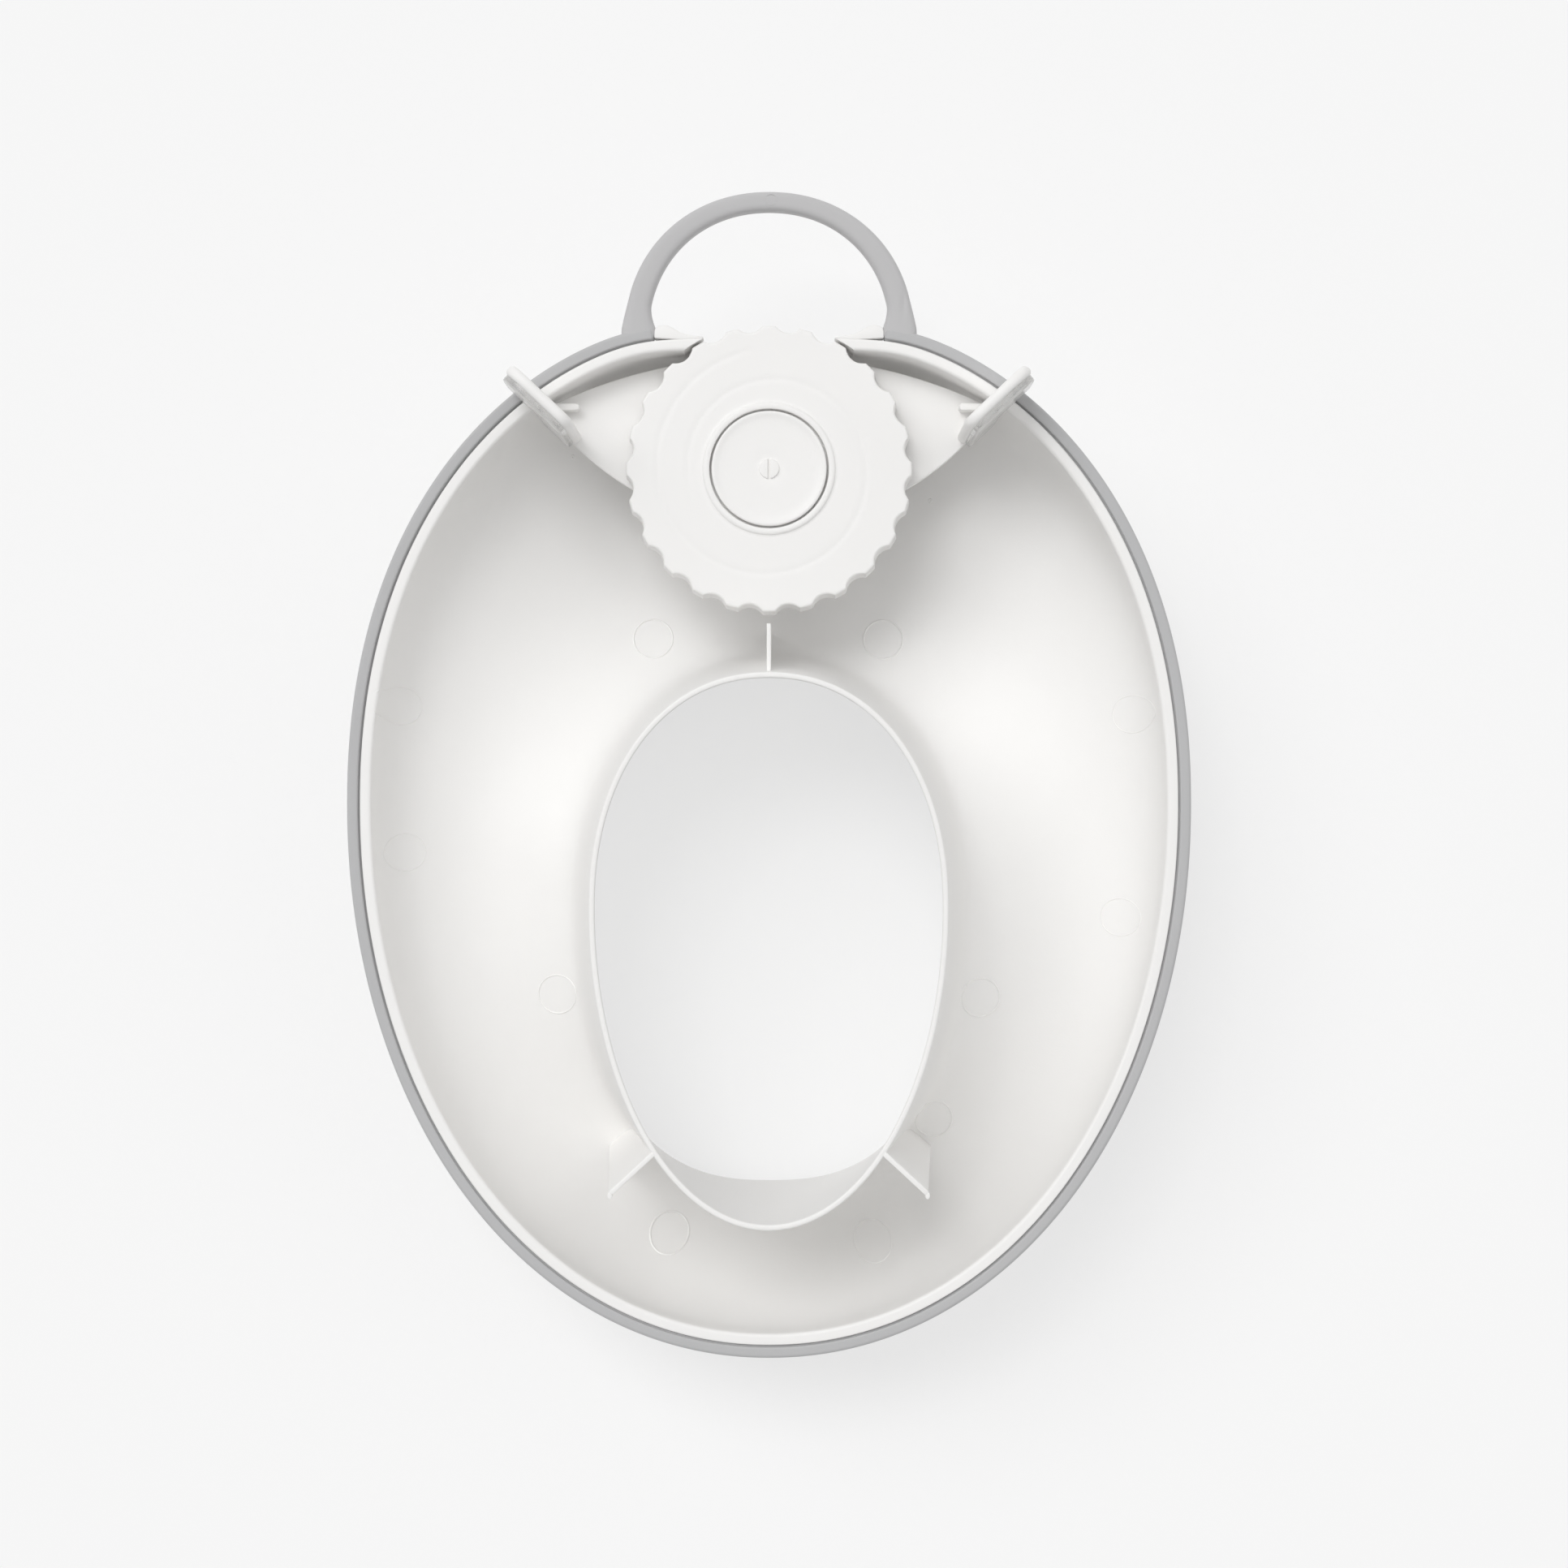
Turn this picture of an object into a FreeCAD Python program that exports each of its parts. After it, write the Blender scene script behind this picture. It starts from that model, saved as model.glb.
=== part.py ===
import FreeCAD, Part
import math
import os

import Sketcher

Vector = FreeCAD.Vector

# Driving sizes in millimetres, angles in degrees. The seat lies face down: +Y points to the carrying
# loop at the rear, +Z to the underside, and z = 0 is the top of the splash guard.
sizes = [
    # Rim outline and its soft edge
    ("RimHalfWidth", 155.5),
    ("RimCentreY", -10.9),
    ("RimRearReach", 182.8),
    ("RimFrontReach", 204.2),
    ("RimRearPower", 2.17),
    ("RimFrontPower", 2.06),
    ("RearFlatY", 161.2),
    ("RearFlatBlend", 4.0),
    ("RimHeight", 78.0),
    ("BeadWidth", 4.7),
    ("BeadHeight", 9.0),
    ("BeadRounding", 1.4),
    ("LipWidth", 4.2),
    # Hole, skirt and crest heights
    ("HoleCentreY", -48.6),
    ("HoleHalfWidth", 70.0),
    ("HoleRearReach", 90.0),
    ("HoleFrontReach", 108.5),
    ("HoleRearPower", 2.15),
    ("HoleFrontPower", 2.5),
    ("SkirtHalfWidth", 64.8),
    ("SkirtRearReach", 85.2),
    ("SkirtFrontReach", 115.8),
    ("SkirtRearPower", 2.15),
    ("SkirtFrontPower", 2.0),
    ("SkirtHeight", 105.0),
    ("SkirtWall", 2.2),
    ("ShellWall", 2.5),
    ("SideCrest", 33.0),
    ("BackCrest", 9.0),
    ("GuardCrest", 0.37),
    ("GuardPower", 3.0),
    # Hub on the shell
    ("HubY", 112.6),
    ("PostRadius", 14.0),
    ("PostBore", 12.0),
    ("PostFloor", 30.0),
    ("DeckHeight", 56.7),
    ("PostRise", 16.6),
    ("DeckRibWall", 2.2),
    ("DeckRibReach", 26.0),
    ("SideRibX", 60.0),
    ("SideRibStart", 119.0),
    ("SideRibEnd", 141.0),
    # Front wedges and centre rib
    ("WedgeInnerX", 40.2),
    ("WedgeInnerY", -135.5),
    ("WedgeOuterX", 56.9),
    ("WedgeOuterY", -150.9),
    ("WedgeWall", 1.8),
    ("WedgeLeanOut", 5.3),
    ("WedgeLeanBack", 6.7),
    ("WedgeDrop", 94.5),
    ("CentreRibStart", 37.0),
    ("CentreRibEnd", 54.4),
    ("CentreRibTop", 98.0),
    ("CentreRibWall", 1.5),
    # Carrying loop
    ("LoopCentreY", 162.0),
    ("LoopHalfWidth", 48.9),
    ("LoopReach", 49.3),
    ("LoopPower", 2.1),
    ("LoopTopWidth", 7.2),
    ("LoopLegWidth", 8.8),
    ("LoopFootWidth", 12.0),
    ("LoopFootDepth", 5.0),
    ("LoopFootSpread", 0.25),
    ("LoopThickness", 8.6),
    ("LoopDrop", 0.1),
    ("GateHalfWidth", 46.0),
    ("GripGap", 0.1),
    ("SocketX", 38.6),
    ("SocketY", 162.4),
    ("SocketRadius", 3.1),
    # Dial, cam and cap
    ("SlideClearance", 0.3),
    ("TurnClearance", 0.3),
    ("DialRadius", 53.1),
    ("DialRecessGap", 1.7),
    ("DialWall", 2.5),
    ("DialRise", 19.3),
    ("DialSkirtRise", 5.3),
    ("ScallopCount", 24),
    ("ScallopRadius", 6.0),
    ("ScallopDepth", 2.2),
    ("HubRingHeight", 1.0),
    ("HubRingWidth", 2.4),
    ("SleeveWall", 2.7),
    ("ShelfThickness", 2.5),
    ("CapGap", 0.8),
    ("CapRadius", 21.2),
    ("CapRise", 3.9),
    ("CapDish", 0.7),
    ("CapDishRadius", 15.9),
    ("CapPlugLength", 20.0),
    ("CapPlugWall", 1.8),
    ("CapPlugFit", 0.05),
    ("CapBossRadius", 3.7),
    ("CapBossHeight", 0.7),
    ("CapSlotWidth", 0.8),
    ("CamStartRadius", 29.3),
    ("CamPitch", 11.4),
    ("CamTurns", 1.305),
    ("CamStartAngle", 155.0),
    ("CamWall", 2.0),
    ("CamGap", 0.3),
    ("CamLift", 0.6),
    # Slide
    ("SlideThickness", 3.0),
    ("SlideTopArcY", -31.6),
    ("SlideTopArcRadius", 187.9),
    ("SlideLowArcY", 195.5),
    ("SlideLowArcRadius", 102.8),
    ("SlideCrownY", 154.4),
    ("SlideTipX", 79.5),
    ("TongueHalfWidth", 22.0),
    ("TongueEdge", 4.0),
    ("PegRadius", 1.5),
    ("PegTipGap", 1.0),
    ("SlideForward", 0.9),
    ("SlideBack", 5.3),
    # Fins and pads
    ("FinInnerX", 72.5),
    ("FinInnerY", 125.9),
    ("FinSpan", 27.1),
    ("FinAngle", 43.3),
    ("FinWall", 4.2),
    ("FinTop", 113.0),
    ("FinRootLength", 14.0),
    ("RimClearance", 1.6),
    ("PadThickness", 2.5),
    ("PadInset", 1.2),
    ("GussetStart", 71.0),
    ("GussetEnd", 80.6),
    ("GussetY", 136.6),
    ("GussetWall", 2.5),
    ("GussetHeight", 7.0),
]

doc = FreeCAD.newDocument("potty_training_seat")
sheet = doc.addObject("Spreadsheet::Sheet", "Sizes")
for number, (alias, value) in enumerate(sizes, 1):
    sheet.set(f"A{number}", alias)
    sheet.set(f"B{number}", str(value))
    sheet.setAlias(f"B{number}", alias)
doc.recompute()


def size(alias):
    return float(getattr(sheet, alias))


def addFeature(name, shape):
    feature = doc.addObject("Part::Feature", name)
    feature.Shape = shape
    return feature


def addBody(name):
    return doc.addObject("PartDesign::Body", name)


def addSketch(body, name, role):
    sketch = body.newObject("Sketcher::SketchObject", name)
    plane = [item for item in body.Origin.OriginFeatures if item.Role == role][0]
    sketch.AttachmentSupport = [(plane, "")]
    sketch.MapMode = "FlatFace"
    return sketch


def bindPoint(sketch, geometry, end, across, along):
    # The point's place from the sketch origin, as two expressions.
    for kind, expression in (("DistanceX", across), ("DistanceY", along)):
        index = sketch.addConstraint(Sketcher.Constraint(kind, -1, 1, geometry, end, 1.0))
        sketch.setExpression(f"Constraints[{index}]", expression)


def addPolygon(sketch, corners):
    # A closed outline whose corners are pairs of expressions.
    count = len(corners)
    spots = [Vector(math.cos(2 * math.pi * i / count), math.sin(2 * math.pi * i / count), 0)
             for i in range(count)]
    first = None
    for i in range(count):
        line = sketch.addGeometry(Part.LineSegment(spots[i], spots[(i + 1) % count]), False)
        first = line if first is None else first
    for i in range(count):
        following = first + (i + 1) % count
        sketch.addConstraint(Sketcher.Constraint("Coincident", first + i, 2, following, 1))
        bindPoint(sketch, first + i, 1, corners[i][0], corners[i][1])


def addCircle(sketch, across, along, radius):
    circle = sketch.addGeometry(Part.Circle(Vector(0, 0, 0), Vector(0, 0, 1), 1.0), False)
    bindPoint(sketch, circle, 3, across, along)
    index = sketch.addConstraint(Sketcher.Constraint("Radius", circle, 1.0))
    sketch.setExpression(f"Constraints[{index}]", radius)


def addRevolution(body, name, sketch):
    turned = body.newObject("PartDesign::Revolution", name)
    turned.Profile = sketch
    turned.ReferenceAxis = (sketch, ["V_Axis"])
    turned.Angle = 360.0
    return turned


def addPad(body, name, sketch, length, reverse=False):
    pad = body.newObject("PartDesign::Pad", name)
    pad.Profile = sketch
    pad.setExpression("Length", length)
    pad.Reversed = reverse
    return pad


def addPocket(body, name, sketch, reverse=False):
    pocket = body.newObject("PartDesign::Pocket", name)
    pocket.Profile = sketch
    pocket.Type = 1
    pocket.Reversed = reverse
    return pocket


def addCylinder(name, radius, height, across, along, bottom):
    cylinder = doc.addObject("Part::Cylinder", name)
    cylinder.setExpression("Radius", radius)
    cylinder.setExpression("Height", height)
    cylinder.setExpression("Placement.Base.x", across)
    cylinder.setExpression("Placement.Base.y", along)
    cylinder.setExpression("Placement.Base.z", bottom)
    return cylinder


def addBox(name, length, width, height, corner):
    box = doc.addObject("Part::Box", name)
    box.setExpression("Length", length)
    box.setExpression("Width", width)
    box.setExpression("Height", height)
    for axis, expression in zip("xyz", corner):
        box.setExpression(f"Placement.Base.{axis}", expression)
    return box


# Outlines of the seat, given as a function of the angle round a centre. Each closed strip is made of
# sectors, so that the dial lies over the rear one alone.
around = 40
sectorEnds = [0, 4, 14, 24, 34, around]


def eggPoint(angle, halfWidth, centreY, reaches, powers):
    # reaches and powers hold the rear and the front value
    side = 0 if math.sin(angle) > 0 else 1
    power = powers[side]
    across = (abs(math.cos(angle)) / halfWidth) ** power
    length = (abs(math.sin(angle)) / reaches[side]) ** power
    radius = (across + length) ** (-1 / power)
    return Vector(radius * math.cos(angle), centreY + radius * math.sin(angle), 0)


def softMinimum(first, second, blend):
    return 0.5 * (first + second - math.sqrt((first - second) ** 2 + blend ** 2))


def rimPoint(angle, inset):
    reaches = (size("RimRearReach") - inset, size("RimFrontReach") - inset)
    powers = (size("RimRearPower"), size("RimFrontPower"))
    point = eggPoint(angle, size("RimHalfWidth") - inset, size("RimCentreY"), reaches, powers)
    flat = size("RearFlatY") + size("BeadWidth") - inset
    point.y = softMinimum(point.y, flat, size("RearFlatBlend"))
    return point


def holePoint(angle):
    reaches = (size("HoleRearReach"), size("HoleFrontReach"))
    powers = (size("HoleRearPower"), size("HoleFrontPower"))
    return eggPoint(angle, size("HoleHalfWidth"), size("HoleCentreY"), reaches, powers)


def skirtPoint(angle, inset):
    reaches = (size("SkirtRearReach") - inset, size("SkirtFrontReach") - inset)
    powers = (size("SkirtRearPower"), size("SkirtFrontPower"))
    return eggPoint(angle, size("SkirtHalfWidth") - inset, size("HoleCentreY"), reaches, powers)


def crestHeight(angle):
    lift = math.sin(angle)
    height = size("SideCrest")
    if lift > 0:
        return height + (size("BackCrest") - height) * lift ** 2
    return height + (size("GuardCrest") - height) * (-lift) ** size("GuardPower")


# Sections of the sitting surface from rim to hole: the share of the way across, and the share of the
# way from the rim's height to the crest's.
sideSection = [(0.014, 0.40), (0.07, 0.71), (0.21, 0.89), (0.45, 1.00), (0.76, 0.93), (0.95, 0.80)]
rearSection = [(0.006, 0.34), (0.05, 0.60), (0.24, 0.80), (0.60, 1.00), (0.83, 0.98), (0.96, 0.86)]
frontSection = [(0.015, 0.21), (0.10, 0.46), (0.31, 0.74), (0.57, 0.96), (0.85, 1.03), (0.98, 0.95)]
# The skirt: the share of the way from the hole's outline to the skirt's, and the share of its rise.
skirtSection = [(0.0, 0.14), (0.45, 0.55), (1.0, 1.0)]


def sectionAt(row, angle):
    lift = math.sin(angle)
    other = rearSection if lift > 0 else frontSection
    weight = abs(lift) ** (2.0 if lift > 0 else size("GuardPower"))
    share = sideSection[row][0] + (other[row][0] - sideSection[row][0]) * weight
    level = sideSection[row][1] + (other[row][1] - sideSection[row][1]) * weight
    return share, level


def sittingRow(row):
    points = []
    for angle in angles:
        share, level = sectionAt(row, angle)
        point = rimPoint(angle, size("BeadWidth")) * (1 - share) + holePoint(angle) * share
        point.z = size("RimHeight") + (crestHeight(angle) - size("RimHeight")) * level
        points.append(point)
    return points


def skirtRow(mix, rise, start):
    points = []
    for angle, base in zip(angles, start):
        point = holePoint(angle) * (1 - mix) + skirtPoint(angle, size("SkirtWall")) * mix
        point.z = base.z + (size("SkirtHeight") - base.z) * rise
        points.append(point)
    return points


def rimRow(inset, height):
    points = [rimPoint(angle, inset) for angle in angles]
    for point in points:
        point.z = height
    return points


def offsetRow(rows, row, distance):
    # Pushes a row of the net along its own normals, away from the floor side.
    count = len(angles)
    points = []
    for i in range(count):
        sideways = rows[row][(i + 1) % count] - rows[row][i - 1]
        inward = rows[row + 1][i] - rows[row - 1][i]
        normal = inward.cross(sideways)
        normal.normalize()
        points.append(rows[row][i] - normal * distance)
    return points


def columnRows(rows, stations):
    # Rows on the smooth curves that the rows control, at stations counted in spans.
    spans = len(rows) - 3
    knots = [float(i) for i in range(spans + 1)]
    found = [[] for _ in stations]
    for i in range(len(rows[0])):
        curve = Part.BSplineCurve()
        curve.buildFromPolesMultsKnots(
            [row[i] for row in rows], [4] + [1] * (spans - 1) + [4], knots, False, 3)
        for row, station in zip(found, stations):
            row.append(curve.value(station))
    return found


def loopPoles(row):
    # Control points of the smooth closed curve through a row.
    count = len(row)
    return [row[i] - (row[i - 1] + row[(i + 1) % count] - row[i] * 2) * (1 / 6) for i in range(count)]


def closedWire(row):
    poles = loopPoles(row)
    curve = Part.BSplineCurve()
    curve.buildFromPolesMultsKnots(
        poles, [1] * (len(row) + 1), [float(i) for i in range(len(row) + 1)], True, 3)
    return Part.Wire([curve.toShape(start, end) for start, end in zip(sectorEnds, sectorEnds[1:])])


def stripFace(first, second):
    # A ruled strip between two closed rows, as one face to a sector.
    count = len(first)
    sectors = []
    for start, end in zip(sectorEnds, sectorEnds[1:]):
        surface = Part.BSplineSurface()
        surface.buildFromPolesMultsKnots(
            [list(pair) for pair in zip(loopPoles(first), loopPoles(second))],
            [1] * (count + 1), [2, 2], [float(i) for i in range(count + 1)], [0.0, 1.0],
            True, False, 3, 1)
        surface.segment(start, end, 0.0, 1.0)
        sectors.append(surface.toShape())
    return Part.makeCompound(sectors)


def stripFaces(rows):
    return [stripFace(first, second) for first, second in zip(rows, rows[1:])]


def ringFace(first, second):
    return Part.makeFace([closedWire(first), closedWire(second)], "Part::FaceMakerBullseye")


def lifted(row, height):
    return [Vector(point.x, point.y, height) for point in row]


def solidFrom(faces):
    shell = Part.makeShell([piece for face in faces for piece in face.Faces])
    shell.sewShape()
    solid = Part.makeSolid(Part.Shell(shell.Faces))
    if solid.Volume < 0:
        solid.reverse()
    return solid


def stationsFor(rows):
    # Two strips to a span, and four where the skirt twists from the hole's outline to its own.
    last = len(rows) - 4
    return [i / 2 for i in range(2 * last + 1)] + [last + i / 4 for i in range(1, 5)]


angles = [2 * math.pi * i / around for i in range(around)]
lipInset = size("BeadWidth") + size("LipWidth")
bandBottom = size("RimHeight") - size("BeadHeight")

outerNet = [rimRow(size("BeadWidth"), bandBottom)]
outerNet += [sittingRow(row) for row in range(len(sideSection))]
holeRow = outerNet[-1]
outerNet += [skirtRow(mix, rise, holeRow) for mix, rise in skirtSection]
innerNet = [rimRow(lipInset, size("RimHeight")), rimRow(lipInset, bandBottom)]
innerNet += [offsetRow(outerNet, row, size("ShellWall")) for row in range(1, len(outerNet) - 1)]
innerNet.append(lifted([skirtPoint(angle, 0) for angle in angles], size("SkirtHeight")))

outerRows = columnRows(outerNet, stationsFor(outerNet))
innerRows = columnRows(innerNet, stationsFor(innerNet))
outerStrips = stripFaces(outerRows)
rimTopRow = lifted(outerRows[0], size("RimHeight"))
shellSkin = addFeature("shell_skin", solidFrom(
    outerStrips + stripFaces(innerRows)
    + [stripFace(outerRows[0], rimTopRow), ringFace(rimTopRow, innerRows[0])]
    + [ringFace(innerRows[-1], outerRows[-1])]))

# Everything above the sitting surface, which trims the ribs that stand on it
envelopeTop = 2 * size("SkirtHeight")
wallTopRow = lifted(outerRows[0], envelopeTop)
holeTopRow = lifted(outerRows[-1], envelopeTop)
envelope = addFeature("shell_envelope", solidFrom(
    outerStrips + [stripFace(outerRows[0], wallTopRow), ringFace(wallTopRow, holeTopRow)]
    + [stripFace(holeTopRow, outerRows[-1])]))

# Heights of the mechanism above the deck that carries it
postTop = "(Sizes.DeckHeight + Sizes.PostRise)"
slideBottom = "(Sizes.DeckHeight + Sizes.SlideClearance)"
slideTop = f"({slideBottom} + Sizes.SlideThickness)"
sleeveBottom = f"({slideTop} + 2 * Sizes.TurnClearance)"
dialTop = "(Sizes.DeckHeight + Sizes.DialRise)"
dialSkirtBottom = "(Sizes.DeckHeight + Sizes.DialSkirtRise)"
capTop = f"({postTop} + Sizes.CapRise)"

# Hub post with the square block that guides the slide
postBody = addBody("hub_post")
postBody.setExpression("Placement.Base.y", "Sizes.HubY")
postSketch = addSketch(postBody, "post_outline", "XY_Plane")
addCircle(postSketch, "0", "0", "Sizes.PostRadius")
addPad(postBody, "post_tube", postSketch, postTop)
blockSketch = addSketch(postBody, "block_outline", "XY_Plane")
addPolygon(blockSketch, [
    ("-Sizes.PostRadius", "-Sizes.PostRadius"),
    ("Sizes.PostRadius", "-Sizes.PostRadius"),
    ("Sizes.PostRadius", "Sizes.PostRadius"),
    ("-Sizes.PostRadius", "Sizes.PostRadius"),
])
addPad(postBody, "guide_block", blockSketch, f"{slideTop} + Sizes.SlideClearance")
crossSketch = addSketch(postBody, "cross_rib_outline", "XY_Plane")
addPolygon(crossSketch, [
    ("-Sizes.DeckRibWall / 2", "-Sizes.DeckRibReach"),
    ("Sizes.DeckRibWall / 2", "-Sizes.DeckRibReach"),
    ("Sizes.DeckRibWall / 2", "-Sizes.DeckRibWall / 2"),
    ("Sizes.DeckRibReach", "-Sizes.DeckRibWall / 2"),
    ("Sizes.DeckRibReach", "Sizes.DeckRibWall / 2"),
    ("Sizes.DeckRibWall / 2", "Sizes.DeckRibWall / 2"),
    ("Sizes.DeckRibWall / 2", "Sizes.DeckRibReach"),
    ("-Sizes.DeckRibWall / 2", "Sizes.DeckRibReach"),
    ("-Sizes.DeckRibWall / 2", "Sizes.DeckRibWall / 2"),
    ("-Sizes.DeckRibReach", "Sizes.DeckRibWall / 2"),
    ("-Sizes.DeckRibReach", "-Sizes.DeckRibWall / 2"),
    ("-Sizes.DeckRibWall / 2", "-Sizes.DeckRibWall / 2"),
])
addPad(postBody, "cross_ribs", crossSketch, "Sizes.DeckHeight")

# Upright ribs that carry the two wings of the slide
ribsBody = addBody("slide_ribs")
ribsSketch = addSketch(ribsBody, "side_rib_outline", "XY_Plane")
for side in ("-", ""):
    addPolygon(ribsSketch, [
        (f"{side}(Sizes.SideRibX - Sizes.DeckRibWall / 2)", "Sizes.SideRibStart"),
        (f"{side}(Sizes.SideRibX + Sizes.DeckRibWall / 2)", "Sizes.SideRibStart"),
        (f"{side}(Sizes.SideRibX + Sizes.DeckRibWall / 2)", "Sizes.SideRibEnd"),
        (f"{side}(Sizes.SideRibX - Sizes.DeckRibWall / 2)", "Sizes.SideRibEnd"),
    ])
addPad(ribsBody, "side_ribs", ribsSketch, "Sizes.DeckHeight")

# Small rib between the hub and the hole
centreBody = addBody("centre_rib")
centreSketch = addSketch(centreBody, "centre_rib_outline", "XY_Plane")
addPolygon(centreSketch, [
    ("-Sizes.CentreRibWall / 2", "Sizes.CentreRibStart"),
    ("Sizes.CentreRibWall / 2", "Sizes.CentreRibStart"),
    ("Sizes.CentreRibWall / 2", "Sizes.CentreRibEnd"),
    ("-Sizes.CentreRibWall / 2", "Sizes.CentreRibEnd"),
])
addPad(centreBody, "centre_rib_pad", centreSketch, "Sizes.CentreRibTop")


def wedgeShape(side):
    # A plate that runs slantwise out from the skirt and leans with its flare
    inner = Vector(side * size("WedgeInnerX"), size("WedgeInnerY"), size("SkirtHeight"))
    outer = Vector(side * size("WedgeOuterX"), size("WedgeOuterY"), size("SkirtHeight"))
    across = (outer - inner).cross(Vector(0, 0, 1))
    across.normalize()
    halfWall = across * (size("WedgeWall") / 2)
    corners = [inner - halfWall, outer - halfWall, outer + halfWall, inner + halfWall]
    lean = Vector(side * size("WedgeLeanOut"), size("WedgeLeanBack"), -size("WedgeDrop"))
    return Part.Face(Part.makePolygon(corners + corners[:1])).extrude(lean)


wedges = addFeature("wedge_plates", Part.makeCompound([wedgeShape(-1), wedgeShape(1)]))

# The ribs and plates that stand on the sitting surface, trimmed to it
standing = doc.addObject("Part::MultiFuse", "standing_parts")
standing.Shapes = [postBody, ribsBody, centreBody, wedges]
trimmed = doc.addObject("Part::MultiCommon", "trimmed_parts")
trimmed.Shapes = [standing, envelope]

# Two rounded sockets beside the feet of the carrying loop
sockets = []
for name, sign in (("left_socket", "-"), ("right_socket", "")):
    sockets.append(addCylinder(name, "Sizes.SocketRadius", "Sizes.BeadHeight",
                               f"{sign}Sizes.SocketX", "Sizes.SocketY",
                               "Sizes.RimHeight - Sizes.BeadHeight"))
moulding = doc.addObject("Part::MultiFuse", "whole_moulding")
moulding.Shapes = [shellSkin, trimmed] + sockets

# Bore of the post, and the finger recess where the dial reaches past the rear edge
postHole = addCylinder("post_bore", "Sizes.PostBore", postTop, "0", "Sizes.HubY", "Sizes.PostFloor")
recess = addCylinder("finger_recess", "Sizes.DialRadius + Sizes.DialRecessGap", "Sizes.RimHeight",
                     "0", "Sizes.HubY", f"{sleeveBottom} - Sizes.TurnClearance")
recessGate = addBox("recess_gate", "2 * Sizes.DialRadius", "Sizes.DialRadius", "2 * Sizes.RimHeight",
                    ("-Sizes.DialRadius", "Sizes.HubY + 2 * Sizes.PostRadius", "0"))
recessCut = doc.addObject("Part::Common", "recess_cut")
recessCut.Base = recess
recessCut.Tool = recessGate
openings = doc.addObject("Part::MultiFuse", "shell_openings")
openings.Shapes = [postHole, recessCut]
seatShell = doc.addObject("Part::Cut", "seat_shell")
seatShell.Base = moulding
seatShell.Tool = openings

# Soft edge: a rounded bead round the rim, left open between the legs of the carrying loop
rounding = size("BeadRounding")
shoulder = rounding * (1 - math.sqrt(0.5))
gripInset = size("BeadWidth") - size("GripGap")
beadRows = [
    rimRow(rounding, size("RimHeight")),
    rimRow(shoulder, size("RimHeight") - shoulder),
    rimRow(0, size("RimHeight") - rounding),
    rimRow(0, bandBottom + rounding),
    rimRow(shoulder, bandBottom + shoulder),
    rimRow(rounding, bandBottom),
]
gripRows = [rimRow(gripInset, size("RimHeight")), rimRow(gripInset, bandBottom)]
bead = addFeature("bead_ring", solidFrom(
    stripFaces(beadRows) + stripFaces(gripRows)
    + [ringFace(beadRows[0], gripRows[0]), ringFace(beadRows[-1], gripRows[1])]))
gate = addBox("bead_gate", "2 * Sizes.GateHalfWidth", "Sizes.RearFlatY", "2 * Sizes.RimHeight",
              ("-Sizes.GateHalfWidth", "Sizes.HubY", "0"))
openBead = doc.addObject("Part::Cut", "open_bead")
openBead.Base = bead
openBead.Tool = gate


def loopPoint(turn):
    # Middle line of the loop, from the right foot over the top to the left foot
    if turn < 0:
        return Vector(size("LoopHalfWidth") + turn * size("LoopFootSpread"), size("LoopCentreY") + turn, 0)
    if turn > math.pi:
        drop = turn - math.pi
        return Vector(-size("LoopHalfWidth") + drop * size("LoopFootSpread"), size("LoopCentreY") - drop, 0)
    across = (abs(math.cos(turn)) / size("LoopHalfWidth")) ** size("LoopPower")
    length = (math.sin(turn) / size("LoopReach")) ** size("LoopPower")
    radius = (across + length) ** (-1 / size("LoopPower"))
    return Vector(radius * math.cos(turn), size("LoopCentreY") + radius * math.sin(turn), 0)


def loopWidth(turn):
    if turn < 0 or turn > math.pi:
        return size("LoopFootWidth")
    return size("LoopTopWidth") + (size("LoopLegWidth") - size("LoopTopWidth")) * math.cos(turn) ** 2


def loopSection(turn):
    step = 0.01
    middle = loopPoint(turn)
    heading = loopPoint(turn + step) - loopPoint(turn - step)
    heading.normalize()
    outward = heading.cross(Vector(0, 0, 1))
    width = loopWidth(turn) / 2
    thickness = size("LoopThickness") / 2
    centre = middle + Vector(0, 0, size("RimHeight") - thickness - size("LoopDrop"))
    points = []
    for i in range(loopRound):
        angle = 2 * math.pi * i / loopRound
        across = abs(math.cos(angle)) ** loopRoundness * math.copysign(1, math.cos(angle))
        upward = abs(math.sin(angle)) ** loopRoundness * math.copysign(1, math.sin(angle))
        points.append(centre + outward * across * width + Vector(0, 0, 1) * upward * thickness)
    return points


def loopSide(first, second):
    # One ruled side of the loop, between two lines that run its whole length.
    spans = len(first) - 3
    surface = Part.BSplineSurface()
    surface.buildFromPolesMultsKnots(
        [list(pair) for pair in zip(first, second)],
        [4] + [1] * (spans - 1) + [4], [2, 2], [float(i) for i in range(spans + 1)], [0.0, 1.0],
        False, False, 3, 1)
    return surface.toShape()


loopRound = 12
loopSteps = 24
loopRoundness = 0.62
footShares = (0.4, 1.0)
footTurns = [share * size("LoopFootDepth") for share in footShares]
turns = [-turn for turn in reversed(footTurns)]
turns += [math.pi * i / loopSteps for i in range(loopSteps + 1)]
turns += [math.pi + turn for turn in footTurns]
sections = [loopSection(turn) for turn in turns]
loopLines = [[section[i] for section in sections] for i in range(loopRound)]
loopFaces = [loopSide(loopLines[i - 1], loopLines[i]) for i in range(loopRound)]
loopFaces += [Part.Face(Part.makePolygon(end + end[:1])) for end in (sections[0], sections[-1])]
loop = addFeature("carrying_loop", solidFrom(loopFaces))

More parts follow.
